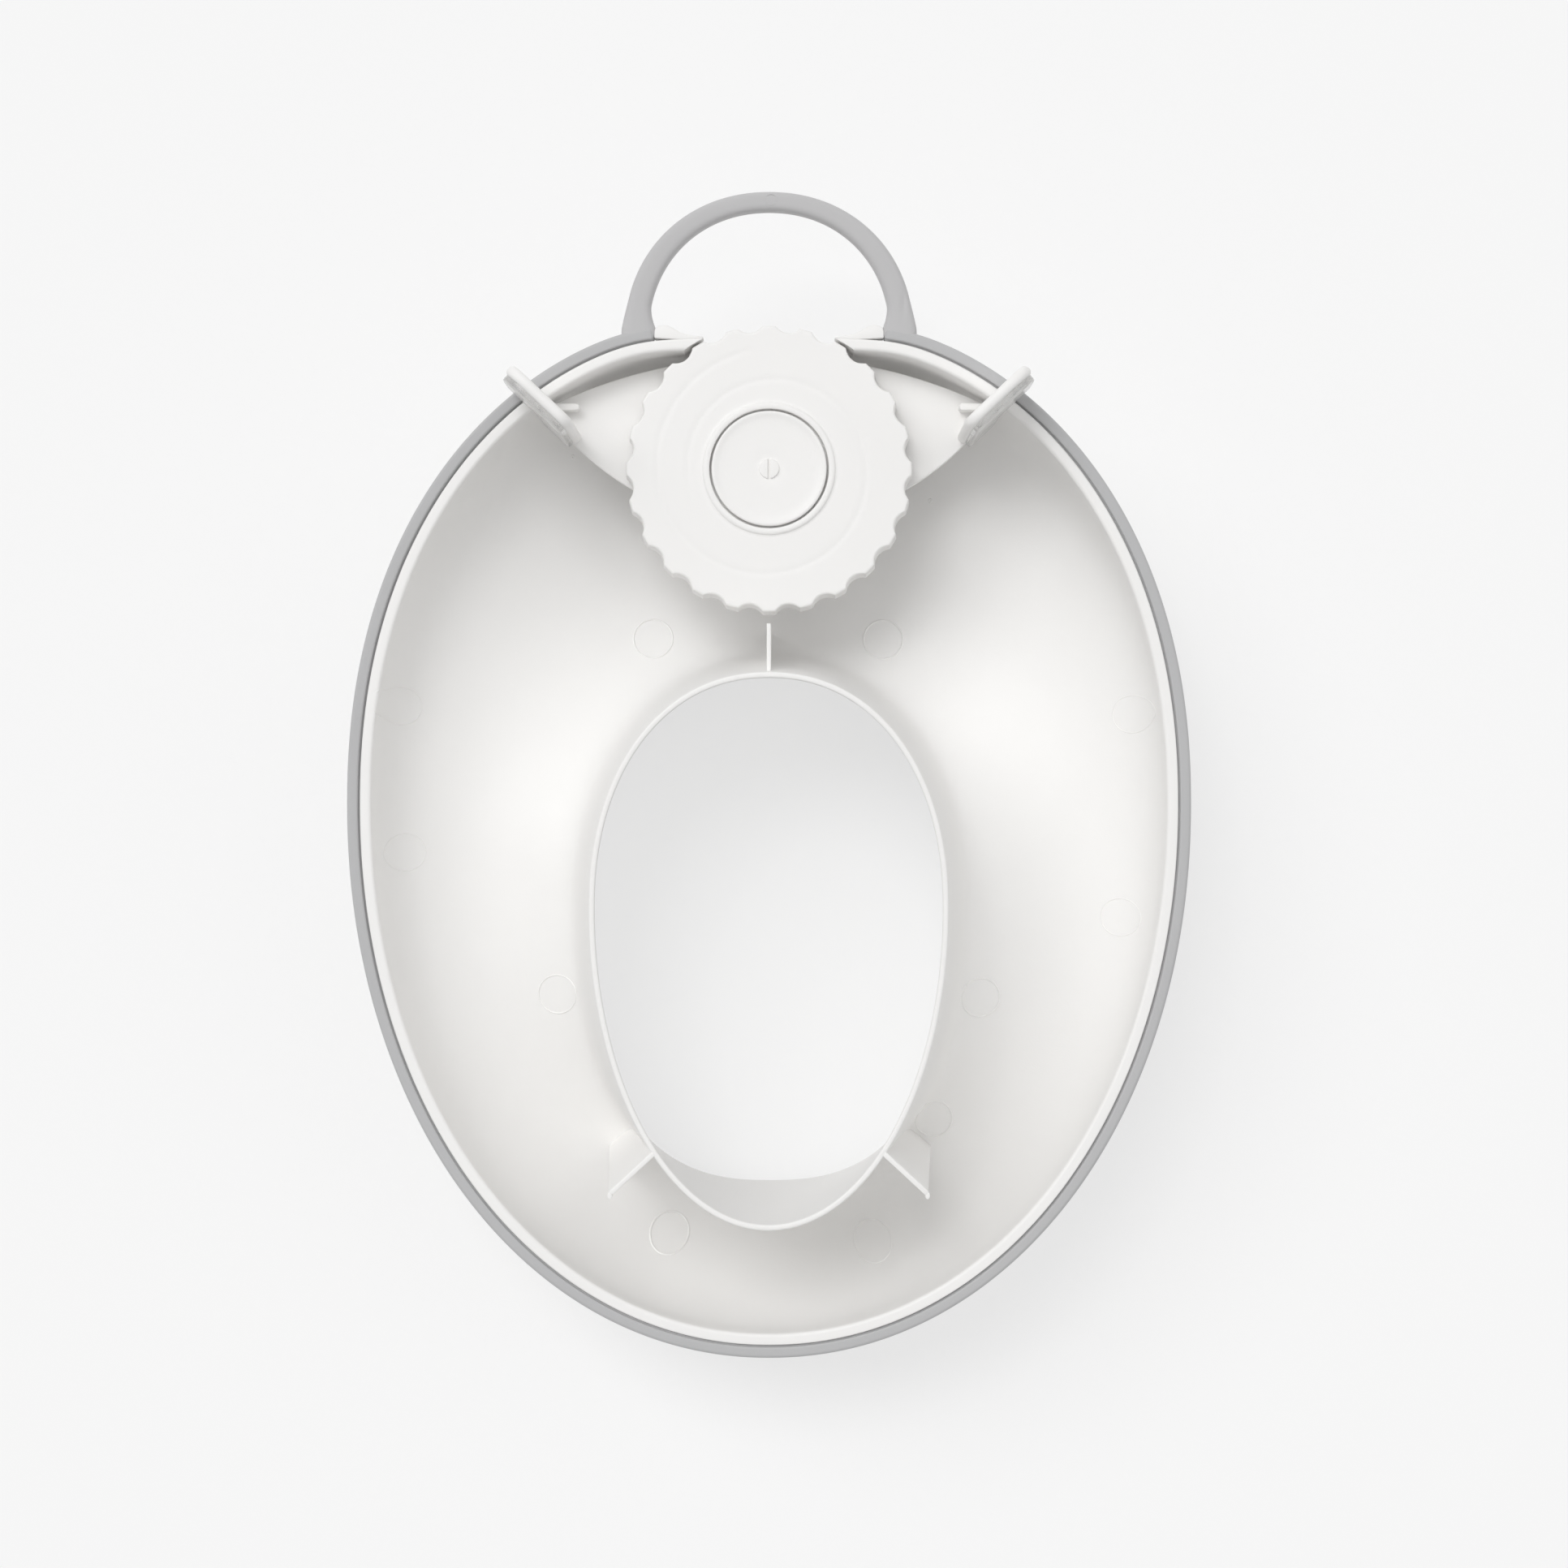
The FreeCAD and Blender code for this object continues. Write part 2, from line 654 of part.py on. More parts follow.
# The feet of the loop stop at the shell's rim
plugInset = size("BeadWidth") - 2 * size("GripGap")
plugRows = [rimRow(plugInset, bandBottom - size("BeadHeight")),
            rimRow(plugInset, size("RimHeight") + size("BeadHeight"))]
rimPlug = addFeature("rim_plug", solidFrom(
    [stripFace(plugRows[0], plugRows[1])] + [Part.Face(closedWire(row)) for row in plugRows]))
seatedLoop = doc.addObject("Part::Cut", "seated_loop")
seatedLoop.Base = loop
seatedLoop.Tool = rimPlug
rimGrip = doc.addObject("Part::MultiFuse", "rim_grip")
rimGrip.Shapes = [openBead, seatedLoop]

# Dial: face plate, scalloped skirt, hub ring and a bearing sleeve with the shelf that the cap holds
shelfTop = f"({postTop} - Sizes.TurnClearance)"
boreRadius = "(Sizes.PostRadius + Sizes.TurnClearance)"
sleeveRadius = f"({boreRadius} + Sizes.SleeveWall)"
hubInner = "(Sizes.CapRadius + Sizes.CapGap)"
hubOuter = f"({hubInner} + Sizes.HubRingWidth)"
faceBottom = f"({dialTop} - Sizes.DialWall)"
skirtInner = "(Sizes.DialRadius - Sizes.ScallopDepth - Sizes.DialWall)"
dialBody = addBody("dial_body")
dialBody.setExpression("Placement.Base.y", "Sizes.HubY")
dialSketch = addSketch(dialBody, "dial_section", "XZ_Plane")
addPolygon(dialSketch, [
    (boreRadius, sleeveBottom),
    (sleeveRadius, sleeveBottom),
    (sleeveRadius, f"{shelfTop} - Sizes.ShelfThickness"),
    (hubInner, f"{shelfTop} - Sizes.ShelfThickness"),
    (hubInner, dialSkirtBottom),
    (hubOuter, dialSkirtBottom),
    (hubOuter, faceBottom),
    (skirtInner, faceBottom),
    (skirtInner, dialSkirtBottom),
    ("Sizes.DialRadius", dialSkirtBottom),
    ("Sizes.DialRadius", dialTop),
    (hubOuter, dialTop),
    (hubOuter, f"{dialTop} + Sizes.HubRingHeight"),
    (hubInner, f"{dialTop} + Sizes.HubRingHeight"),
    (hubInner, shelfTop),
    (boreRadius, shelfTop),
])
addRevolution(dialBody, "dial_turned", dialSketch)
scallopSketch = addSketch(dialBody, "scallop_outline", "XY_Plane")
halfStep = "180 / Sizes.ScallopCount"
scallopReach = "(Sizes.DialRadius - Sizes.ScallopDepth + Sizes.ScallopRadius)"
addCircle(scallopSketch, f"{scallopReach} * cos({halfStep})", f"{scallopReach} * sin({halfStep})",
          "Sizes.ScallopRadius")
doc.recompute()
turnedVolume = dialBody.Shape.Volume
scallop = addPocket(dialBody, "scallop_cut", scallopSketch, True)
doc.recompute()
if dialBody.Shape.Volume > turnedVolume - 1:
    raise RuntimeError("the scallop removes nothing")
scallops = dialBody.newObject("PartDesign::PolarPattern", "scallops")
scallops.Originals = [scallop]
scallops.Axis = (scallopSketch, ["N_Axis"])
scallops.Angle = 360.0
scallops.setExpression("Occurrences", "Sizes.ScallopCount")
dialBody.Tip = scallops


def camPoint(share, offset, height):
    # A point of the spiral rib, which widens clockwise as seen from above
    turned = 2 * math.pi * size("CamTurns") * share
    radius = size("CamStartRadius") + size("CamPitch") * turned / (2 * math.pi) + offset
    angle = -math.radians(size("CamStartAngle")) - turned
    return Vector(radius * math.cos(angle), radius * math.sin(angle), height)


def camSide(offset, height):
    # One side of the rib, as arcs through points of the spiral
    points = [camPoint(i / (2 * camArcs), offset, height) for i in range(2 * camArcs + 1)]
    return [Part.Arc(points[i], points[i + 1], points[i + 2]).toShape()
            for i in range(0, 2 * camArcs, 2)]


camArcs = 12
camBottom = (size("DeckHeight") + size("SlideThickness") + 2 * size("SlideClearance")
             + size("CamLift"))
camTop = size("DeckHeight") + size("DialRise") - size("DialWall") / 2
camHalf = size("CamWall") / 2
camEnds = [Part.makeLine(camPoint(share, -camHalf, camBottom), camPoint(share, camHalf, camBottom))
           for share in (0, 1)]
camOutline = camSide(-camHalf, camBottom) + camSide(camHalf, camBottom) + camEnds
camFace = Part.Face(Part.Wire(Part.sortEdges(camOutline)[0]))
cam = addFeature("cam_rib", camFace.extrude(Vector(0, 0, camTop - camBottom)))
cam.setExpression("Placement.Base.y", "Sizes.HubY")
dial = doc.addObject("Part::MultiFuse", "adjuster_dial")
dial.Shapes = [dialBody, cam]

# Retaining cap: dished disc with a slotted boss, on a plug that sits in the post
capBody = addBody("hub_cap")
capBody.setExpression("Placement.Base.y", "Sizes.HubY")
capSketch = addSketch(capBody, "cap_section", "XZ_Plane")
plugRadius = "(Sizes.PostBore - Sizes.CapPlugFit)"
plugInner = f"({plugRadius} - Sizes.CapPlugWall)"
dish = f"({capTop} - Sizes.CapDish)"
addPolygon(capSketch, [
    ("0", f"{postTop} + Sizes.CapDish"),
    (plugInner, f"{postTop} + Sizes.CapDish"),
    (plugInner, f"{postTop} - Sizes.CapPlugLength"),
    (plugRadius, f"{postTop} - Sizes.CapPlugLength"),
    (plugRadius, postTop),
    ("Sizes.CapRadius", postTop),
    ("Sizes.CapRadius", f"{capTop} - Sizes.CapDish / 2"),
    ("Sizes.CapRadius - Sizes.CapDish", capTop),
    ("Sizes.CapDishRadius", dish),
    ("Sizes.CapBossRadius", dish),
    ("Sizes.CapBossRadius", f"{dish} + Sizes.CapBossHeight"),
    ("0", f"{dish} + Sizes.CapBossHeight"),
])
addRevolution(capBody, "cap_turned", capSketch)
slotSketch = addSketch(capBody, "cap_slot_outline", "XZ_Plane")
addPolygon(slotSketch, [
    ("-Sizes.CapSlotWidth / 2", dish),
    ("Sizes.CapSlotWidth / 2", dish),
    ("Sizes.CapSlotWidth / 2", f"{capTop} + Sizes.CapBossHeight"),
    ("-Sizes.CapSlotWidth / 2", f"{capTop} + Sizes.CapBossHeight"),
])
doc.recompute()
cappedVolume = capBody.Shape.Volume
capSlot = addPocket(capBody, "cap_slot", slotSketch)
capSlot.Type = 0
capSlot.Midplane = True
capSlot.setExpression("Length", "2 * Sizes.CapBossRadius")
doc.recompute()
if capBody.Shape.Volume > cappedVolume - 0.1:
    raise RuntimeError("the slot of the cap removes nothing")

# Slide plate: a lens between two arcs, with its crown and tips cut off, round the guide block
topArc = addCylinder("slide_top_arc", "Sizes.SlideTopArcRadius", "Sizes.SlideThickness",
                     "0", "Sizes.SlideTopArcY", slideBottom)
lowArc = addCylinder("slide_low_arc", "Sizes.SlideLowArcRadius", "Sizes.SlideThickness",
                     "0", "Sizes.SlideLowArcY", slideBottom)
crownBox = addBox("slide_limits", "2 * Sizes.SlideTipX", "Sizes.SlideCrownY", "Sizes.SlideThickness",
                  ("-Sizes.SlideTipX", "0", slideBottom))
lens = doc.addObject("Part::MultiCommon", "slide_lens")
lens.Shapes = [topArc, lowArc, crownBox]

# The dial's spiral passes the follower on the side of the hole, below the hub
followerRadius = "(Sizes.CamStartRadius + Sizes.CamPitch * (450 - Sizes.CamStartAngle) / 360)"
pegOffset = "(Sizes.CamWall / 2 + Sizes.CamGap + Sizes.PegRadius)"
tongueLow = f"(Sizes.HubY - {followerRadius} - {pegOffset} - Sizes.PegRadius - Sizes.TongueEdge)"
tongue = addBox("slide_tongue", "2 * Sizes.TongueHalfWidth", f"Sizes.HubY - {tongueLow}",
                "Sizes.SlideThickness", ("-Sizes.TongueHalfWidth", tongueLow, slideBottom))
slotHalf = "(Sizes.PostRadius + Sizes.SlideClearance)"
slot = addBox("slide_slot", f"2 * {slotHalf}", f"2 * {slotHalf} + Sizes.SlideForward + Sizes.SlideBack",
              "2 * Sizes.SlideThickness",
              (f"-{slotHalf}", f"Sizes.HubY - {slotHalf} - Sizes.SlideForward",
               f"{slideBottom} - Sizes.SlideThickness / 2"))
pegs = []
for name, sign in (("inner_peg", "+"), ("outer_peg", "-")):
    pegs.append(addCylinder(
        name, "Sizes.PegRadius",
        f"{faceBottom} - Sizes.PegTipGap - {slideBottom}",
        "0", f"Sizes.HubY - {followerRadius} {sign} {pegOffset}", slideBottom))


def addFinSketch(body, name, inset):
    # Elevation of a fin: a root on the slide and a blade that reaches over the rim
    sketch = addSketch(body, name, "XZ_Plane")
    end = "Sizes.FinSpan + Sizes.FinWall / 2"
    underside = "Sizes.RimHeight + Sizes.RimClearance"
    addPolygon(sketch, [
        (f"-Sizes.FinWall / 2 + {inset}", f"{slideBottom} + 2 * {inset}"),
        (f"Sizes.FinRootLength - {inset}", f"{slideBottom} + 2 * {inset}"),
        (f"Sizes.FinRootLength - {inset}", f"{underside} + {inset}"),
        (f"{end} - {inset}", f"{underside} + {inset}"),
        (f"{end} - {inset}", f"Sizes.FinTop - {inset}"),
        (f"-Sizes.FinWall / 2 + {inset}", f"Sizes.FinTop - {inset}"),
    ])
    return sketch


def placeOnFin(body):
    body.setExpression("Placement.Base.x", "Sizes.FinInnerX")
    body.setExpression("Placement.Base.y", "Sizes.FinInnerY")
    body.setExpression("Placement.Rotation.Angle", "Sizes.FinAngle")


def roundUprights(body, feature, radius):
    # Rounds the upright edges of a plate
    doc.recompute()
    names = []
    for number, edge in enumerate(feature.Shape.Edges, 1):
        ends = [vertex.Point for vertex in edge.Vertexes]
        if len(ends) == 2 and abs(ends[0].z - ends[1].z) > 0.99 * edge.Length:
            names.append(f"Edge{number}")
    fillet = body.newObject("PartDesign::Fillet", f"{feature.Name}_rounded")
    fillet.Base = (feature, names)
    fillet.setExpression("Radius", radius)
    return fillet


# The uprights are almost half round
finRounding = "0.46 * Sizes.FinWall"
finBody = addBody("fin_blade")
placeOnFin(finBody)
finPad = addPad(finBody, "fin_plate", addFinSketch(finBody, "fin_outline", "0"), "Sizes.FinWall")
finPad.Midplane = True
roundUprights(finBody, finPad, finRounding)
rightGusset = addBox("fin_gusset", "Sizes.GussetEnd - Sizes.GussetStart", "Sizes.GussetWall",
                     "Sizes.SlideThickness + Sizes.GussetHeight",
                     ("Sizes.GussetStart", "Sizes.GussetY - Sizes.GussetWall / 2", slideBottom))
rightFin = doc.addObject("Part::MultiFuse", "right_fin")
rightFin.Shapes = [finBody, rightGusset]
leftFin = doc.addObject("Part::Mirroring", "left_fin")
leftFin.Source = rightFin
leftFin.Base = Vector(0, 0, 0)
leftFin.Normal = Vector(1, 0, 0)

# The plate ends at the outer face of each fin
trimBox = addBox("fin_trim", "2 * Sizes.FinSpan", "Sizes.FinSpan", "Sizes.SlideThickness * 2",
                 ("Sizes.FinInnerX + (Sizes.FinWall / 2 + Sizes.FinSpan) * sin(Sizes.FinAngle)",
                  "Sizes.FinInnerY - (Sizes.FinWall / 2 + Sizes.FinSpan) * cos(Sizes.FinAngle)",
                  f"{slideBottom} - Sizes.SlideThickness / 2"))
trimBox.setExpression("Placement.Rotation.Angle", "Sizes.FinAngle")
leftTrim = doc.addObject("Part::Mirroring", "left_fin_trim")
leftTrim.Source = trimBox
leftTrim.Base = Vector(0, 0, 0)
leftTrim.Normal = Vector(1, 0, 0)
plate = doc.addObject("Part::MultiFuse", "slide_plate")
plate.Shapes = [lens, tongue]
slideCuts = doc.addObject("Part::MultiFuse", "slide_cuts")
slideCuts.Shapes = [slot, trimBox, leftTrim]
cutPlate = doc.addObject("Part::Cut", "slide_cut_plate")
cutPlate.Base = plate
cutPlate.Tool = slideCuts
slide = doc.addObject("Part::MultiFuse", "adjuster_slide")
slide.Shapes = [cutPlate, rightFin, leftFin] + pegs

# Soft pads on the outer faces of the fins
padBody = addBody("fin_pad_right")
placeOnFin(padBody)
padSketch = addFinSketch(padBody, "pad_outline", "Sizes.PadInset")
padSketch.setExpression("AttachmentOffset.Base.z", "Sizes.FinWall / 2")
padPlate = addPad(padBody, "pad_plate", padSketch, "Sizes.PadThickness")
leftPad = doc.addObject("Part::Mirroring", "fin_pad_left")
leftPad.Source = padBody
leftPad.Base = Vector(0, 0, 0)
leftPad.Normal = Vector(1, 0, 0)

subParts = [
    (seatShell, "seat_shell"),
    (rimGrip, "rim_grip"),
    (dial, "adjuster_dial"),
    (capBody, "hub_cap"),
    (slide, "adjuster_slide"),
    (padBody, "fin_pad_right"),
    (leftPad, "fin_pad_left"),
]
for feature, label in subParts:
    feature.Label = label
doc.recompute()

for item in doc.Objects:
    if "Invalid" in item.State or "Error" in item.State:
        raise RuntimeError(f"{item.Label} failed to build")
for feature, label in subParts:
    shape = feature.Shape
    if shape.isNull() or not shape.isValid() or len(shape.Solids) != 1:
        raise RuntimeError(f"{label} is not one valid solid")

os.makedirs("parts", exist_ok=True)
for feature, label in subParts:
    feature.Shape.exportStep(f"parts/{label}.step")
    box = feature.Shape.BoundBox
    print(f"{label}: {feature.Shape.Volume / 1000:.1f} cm3, x {box.XMin:.1f} to {box.XMax:.1f}, "
          f"y {box.YMin:.1f} to {box.YMax:.1f}, z {box.ZMin:.1f} to {box.ZMax:.1f}")
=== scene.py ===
import math

import bmesh
import bpy
import numpy as np
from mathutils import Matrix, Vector
from mathutils.bvhtree import BVHTree


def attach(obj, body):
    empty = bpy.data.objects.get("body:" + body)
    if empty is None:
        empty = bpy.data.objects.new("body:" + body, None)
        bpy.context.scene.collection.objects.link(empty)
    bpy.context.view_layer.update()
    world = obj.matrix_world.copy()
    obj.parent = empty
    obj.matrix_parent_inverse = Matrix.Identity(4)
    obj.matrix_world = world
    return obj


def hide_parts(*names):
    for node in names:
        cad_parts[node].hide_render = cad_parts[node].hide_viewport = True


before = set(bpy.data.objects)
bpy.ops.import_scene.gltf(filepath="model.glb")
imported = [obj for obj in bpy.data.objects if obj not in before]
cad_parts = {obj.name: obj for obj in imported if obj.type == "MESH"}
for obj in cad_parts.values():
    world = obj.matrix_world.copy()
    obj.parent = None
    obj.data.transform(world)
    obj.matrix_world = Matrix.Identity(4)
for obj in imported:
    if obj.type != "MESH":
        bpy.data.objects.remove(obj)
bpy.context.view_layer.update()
scene = bpy.context.scene
scene.view_settings.view_transform = "Standard"
mm = 0.001
print("frame loaded")

# Camera, floor and light

cameraLook = {"place": (5.5, -3.7, 1228.0), "lens": 71.74, "sensor": 36.0}
lightLook = {
    "sky": 0.45,    # even light from all round
    # name: strength, degrees off the straight-down line, compass angle from +X, softness
    "lamps": {
        "high_key": (0.65, 25.0, 118.0, 22.0),
        "low_key": (0.7, 42.0, 140.0, 32.0),
        "side_fill": (0.26, 38.0, 20.0, 50.0),
        "front_fill": (0.1, 0.0, 0.0, 30.0),
    },
}
floorLook = {
    "colour": 0.965,
    "shadowShare": 0.42,    # how much of the floor takes light and shade, the rest glows
    "size": 8.0,            # metres
    "drop": 0.4,            # below the object, in millimetres
}

camera = bpy.data.objects.new("camera", bpy.data.cameras.new("camera"))
camera.location = Vector(cameraLook["place"]) * mm
camera.data.lens = cameraLook["lens"]
camera.data.sensor_width = cameraLook["sensor"]
camera.data.clip_start, camera.data.clip_end = 0.01, 50
scene.collection.objects.link(camera)
scene.camera = camera

for name, (strength, fromAxis, compass, softness) in lightLook["lamps"].items():
    lamp = bpy.data.objects.new(name, bpy.data.lights.new(name, "SUN"))
    lamp.data.energy = strength
    lamp.data.angle = math.radians(softness)
    tilt, turn = math.radians(fromAxis), math.radians(compass)
    towards = Vector((math.sin(tilt) * math.cos(turn), math.sin(tilt) * math.sin(turn), math.cos(tilt)))
    lamp.rotation_euler = towards.to_track_quat("Z", "Y").to_euler()
    scene.collection.objects.link(lamp)


def seenMask(nodes, links):
    # 1 for what the camera, a gloss or a clear piece looks at, 0 for bounced light
    path = nodes.new("ShaderNodeLightPath")
    mask = path.outputs["Is Camera Ray"]
    for ray in ("Is Glossy Ray", "Is Transmission Ray"):
        either = nodes.new("ShaderNodeMath")
        either.operation = "MAXIMUM"
        links.new(mask, either.inputs[0])
        links.new(path.outputs[ray], either.inputs[1])
        mask = either.outputs[0]
    return mask


def flatLight(nodes, kind, shade, strength):
    light = nodes.new(kind)
    light.inputs["Color"].default_value = (shade, shade, shade, 1)
    light.inputs["Strength"].default_value = strength
    return light


world = bpy.data.worlds.new("pale_room")
scene.world = world
world.use_nodes = True
nodes, links = world.node_tree.nodes, world.node_tree.links
nodes.clear()
lit = flatLight(nodes, "ShaderNodeBackground", 1.0, lightLook["sky"])
seen = flatLight(nodes, "ShaderNodeBackground", floorLook["colour"], 1.0)
both = nodes.new("ShaderNodeMixShader")
links.new(seenMask(nodes, links), both.inputs[0])
links.new(lit.outputs[0], both.inputs[1])
links.new(seen.outputs[0], both.inputs[2])
links.new(both.outputs[0], nodes.new("ShaderNodeOutputWorld").inputs["Surface"])

floorMaterial = bpy.data.materials.new("pale_floor")
floorMaterial.use_nodes = True
nodes, links = floorMaterial.node_tree.nodes, floorMaterial.node_tree.links
nodes.clear()
paint = nodes.new("ShaderNodeBsdfDiffuse")
paint.inputs["Color"].default_value = (floorLook["colour"],) * 3 + (1,)
glow = flatLight(nodes, "ShaderNodeEmission", floorLook["colour"], 1.0)
share = nodes.new("ShaderNodeMath")
share.operation = "MULTIPLY"
share.inputs[1].default_value = 1 - floorLook["shadowShare"]
both = nodes.new("ShaderNodeMixShader")
links.new(seenMask(nodes, links), share.inputs[0])
links.new(share.outputs[0], both.inputs[0])
links.new(paint.outputs[0], both.inputs[1])
links.new(glow.outputs[0], both.inputs[2])
links.new(both.outputs[0], nodes.new("ShaderNodeOutputMaterial").inputs["Surface"])

reach = floorLook["size"] / 2
floorMesh = bpy.data.meshes.new("floor")
floorMesh.from_pydata([(-reach, -reach, 0), (reach, -reach, 0), (reach, reach, 0), (-reach, reach, 0)],
                      [], [(0, 1, 2, 3)])
floor = bpy.data.objects.new("floor", floorMesh)
floor.location.z = -floorLook["drop"] * mm
floor.data.materials.append(floorMaterial)
scene.collection.objects.link(floor)
print("camera, floor and light ready")

# Finishes


def addSocket(group, name, kind, direction, value=None):
    socket = group.interface.new_socket(name=name, in_out=direction, socket_type=kind)
    if value is not None:
        socket.default_value = value
    return socket


surfaceLook = {"cloudScale": 22.0, "cloudDetail": 3.0, "streakScale": 95.0, "streakDetail": 4.0,
               "grainDetail": 2.0, "grainHeight": 0.0002}


def mouldedGroup(look):
    # Cloudy tint, uneven gloss and fine spark grain of a moulded surface
    group = bpy.data.node_groups.new("moulded_surface", "ShaderNodeTree")
    addSocket(group, "Colour", "NodeSocketColor", "INPUT", (0.8, 0.8, 0.8, 1))
    addSocket(group, "Cloud", "NodeSocketFloat", "INPUT", 0.03)
    addSocket(group, "Gloss", "NodeSocketFloat", "INPUT", 0.45)
    addSocket(group, "Gloss Spread", "NodeSocketFloat", "INPUT", 0.1)
    addSocket(group, "Grain Size", "NodeSocketFloat", "INPUT", 1400.0)
    addSocket(group, "Grain Depth", "NodeSocketFloat", "INPUT", 0.1)
    addSocket(group, "Colour", "NodeSocketColor", "OUTPUT")
    addSocket(group, "Roughness", "NodeSocketFloat", "OUTPUT")
    addSocket(group, "Normal", "NodeSocketVector", "OUTPUT")
    nodes, links = group.nodes, group.links
    given = nodes.new("NodeGroupInput")
    result = nodes.new("NodeGroupOutput")
    place = nodes.new("ShaderNodeTexCoord")
    cloud = nodes.new("ShaderNodeTexNoise")
    cloud.inputs["Scale"].default_value = look["cloudScale"]
    cloud.inputs["Detail"].default_value = look["cloudDetail"]
    links.new(place.outputs["Object"], cloud.inputs["Vector"])
    centred = nodes.new("ShaderNodeMath")
    centred.operation = "SUBTRACT"
    centred.inputs[1].default_value = 0.5
    links.new(cloud.outputs["Fac"], centred.inputs[0])
    swing = nodes.new("ShaderNodeMath")
    swing.operation = "MULTIPLY_ADD"
    swing.inputs[2].default_value = 1.0
    links.new(centred.outputs[0], swing.inputs[0])
    links.new(given.outputs["Cloud"], swing.inputs[1])
    tinted = nodes.new("ShaderNodeVectorMath")
    tinted.operation = "SCALE"
    links.new(given.outputs["Colour"], tinted.inputs[0])
    links.new(swing.outputs[0], tinted.inputs["Scale"])
    links.new(tinted.outputs[0], result.inputs["Colour"])
    streak = nodes.new("ShaderNodeTexNoise")
    streak.inputs["Scale"].default_value = look["streakScale"]
    streak.inputs["Detail"].default_value = look["streakDetail"]
    links.new(place.outputs["Object"], streak.inputs["Vector"])
    uneven = nodes.new("ShaderNodeMath")
    uneven.operation = "MULTIPLY_ADD"
    links.new(streak.outputs["Fac"], uneven.inputs[0])
    links.new(given.outputs["Gloss Spread"], uneven.inputs[1])
    links.new(given.outputs["Gloss"], uneven.inputs[2])
    links.new(uneven.outputs[0], result.inputs["Roughness"])
    grain = nodes.new("ShaderNodeTexNoise")
    grain.inputs["Detail"].default_value = look["grainDetail"]
    links.new(place.outputs["Object"], grain.inputs["Vector"])
    links.new(given.outputs["Grain Size"], grain.inputs["Scale"])
    bump = nodes.new("ShaderNodeBump")
    bump.inputs["Distance"].default_value = look["grainHeight"]
    links.new(given.outputs["Grain Depth"], bump.inputs["Strength"])
    links.new(grain.outputs["Fac"], bump.inputs["Height"])
    links.new(bump.outputs[0], result.inputs["Normal"])
    return group


mouldedSurface = mouldedGroup(surfaceLook)


def makeFinish(name, look, fixed):
    material = bpy.data.materials.new(name)
    material.use_nodes = True
    nodes, links = material.node_tree.nodes, material.node_tree.links
    shader = nodes["Principled BSDF"]
    surface = nodes.new("ShaderNodeGroup")
    surface.node_tree = mouldedSurface
    surface.inputs["Colour"].default_value = look["colour"] + (1,)
    for socket, value in (("Cloud", "cloud"), ("Gloss", "gloss"), ("Gloss Spread", "spread"),
                          ("Grain Size", "grain"), ("Grain Depth", "depth")):
        surface.inputs[socket].default_value = look[value]
    for effect, socket in (("Colour", "Base Color"), ("Roughness", "Roughness"), ("Normal", "Normal")):
        links.new(surface.outputs[effect], shader.inputs[socket])
    for socket, value in fixed.items():
        shader.inputs[socket].default_value = value
    return material


whiteLook = {"colour": (0.938, 0.93, 0.917), "cloud": 0.03, "gloss": 0.4, "spread": 0.12,
             "grain": 1500.0, "depth": 0.12}
greyLook = {"colour": (0.52, 0.52, 0.525), "cloud": 0.06, "gloss": 0.6, "spread": 0.15,
            "grain": 1100.0, "depth": 0.2}
clearLook = {"colour": (0.955, 0.955, 0.95), "cloud": 0.02, "gloss": 0.18, "spread": 0.1,
             "grain": 900.0, "depth": 0.2}
whiteFinish = makeFinish("white_moulded_plastic", whiteLook, {"Specular IOR Level": 0.4})
softSheen = {"Specular IOR Level": 0.3, "Sheen Weight": 0.1}
greyFinish = makeFinish("grey_soft_rubber", greyLook, softSheen)
loopLook = dict(greyLook, colour=(0.555, 0.55, 0.555))    # the loop is given a lighter grey than the bead
loopFinish = makeFinish("grey_loop_rubber", loopLook, softSheen)
clearFinish = makeFinish("clear_soft_rubber", clearLook, {"Transmission Weight": 0.85, "IOR": 1.42})
print("finishes ready")

# Tools that the pieces are built with


def gridFaces(rows, columns, closedRows=False):
    # Rows of points that each close on themselves
    faces = []
    for r in range(rows if closedRows else rows - 1):
        here, down = r * columns, (r + 1) % rows * columns
        for c in range(columns):
            along = (c + 1) % columns
            faces.append((here + c, here + along, down + along, down + c))
    return faces


def tubeFaces(rows, columns):
    # A grid whose first and last row are closed by a face each
    last = columns * (rows - 1)
    ends = [tuple(range(columns)), tuple(last + k for k in reversed(range(columns)))]
    return gridFaces(rows, columns) + ends


def addPiece(name, points, faces, finish, sharp=35):
    # points in millimetres
    mesh = bpy.data.meshes.new(name)
    mesh.from_pydata([tuple(p) for p in np.asarray(points, float).reshape(-1, 3) * mm], [], faces)
    mesh.validate()
    shaped = bmesh.new()
    shaped.from_mesh(mesh)
    bmesh.ops.recalc_face_normals(shaped, faces=shaped.faces)
    shaped.to_mesh(mesh)
    shaped.free()
    mesh.shade_smooth()
    mesh.set_sharp_from_angle(angle=math.radians(sharp))
    mesh.materials.append(finish)
    piece = bpy.data.objects.new(name, mesh)
    scene.collection.objects.link(piece)
    return piece


def applyAll(piece, sharp=35):
    # Keeps the shape that the piece's modifiers give it
    depsgraph = bpy.context.evaluated_depsgraph_get()
    depsgraph.update()
    shaped = bpy.data.meshes.new_from_object(piece.evaluated_get(depsgraph))
    piece.modifiers.clear()
    old = piece.data
    piece.data = shaped
    bpy.data.meshes.remove(old)
    piece.data.shade_smooth()
    piece.data.set_sharp_from_angle(angle=math.radians(sharp))
    return piece


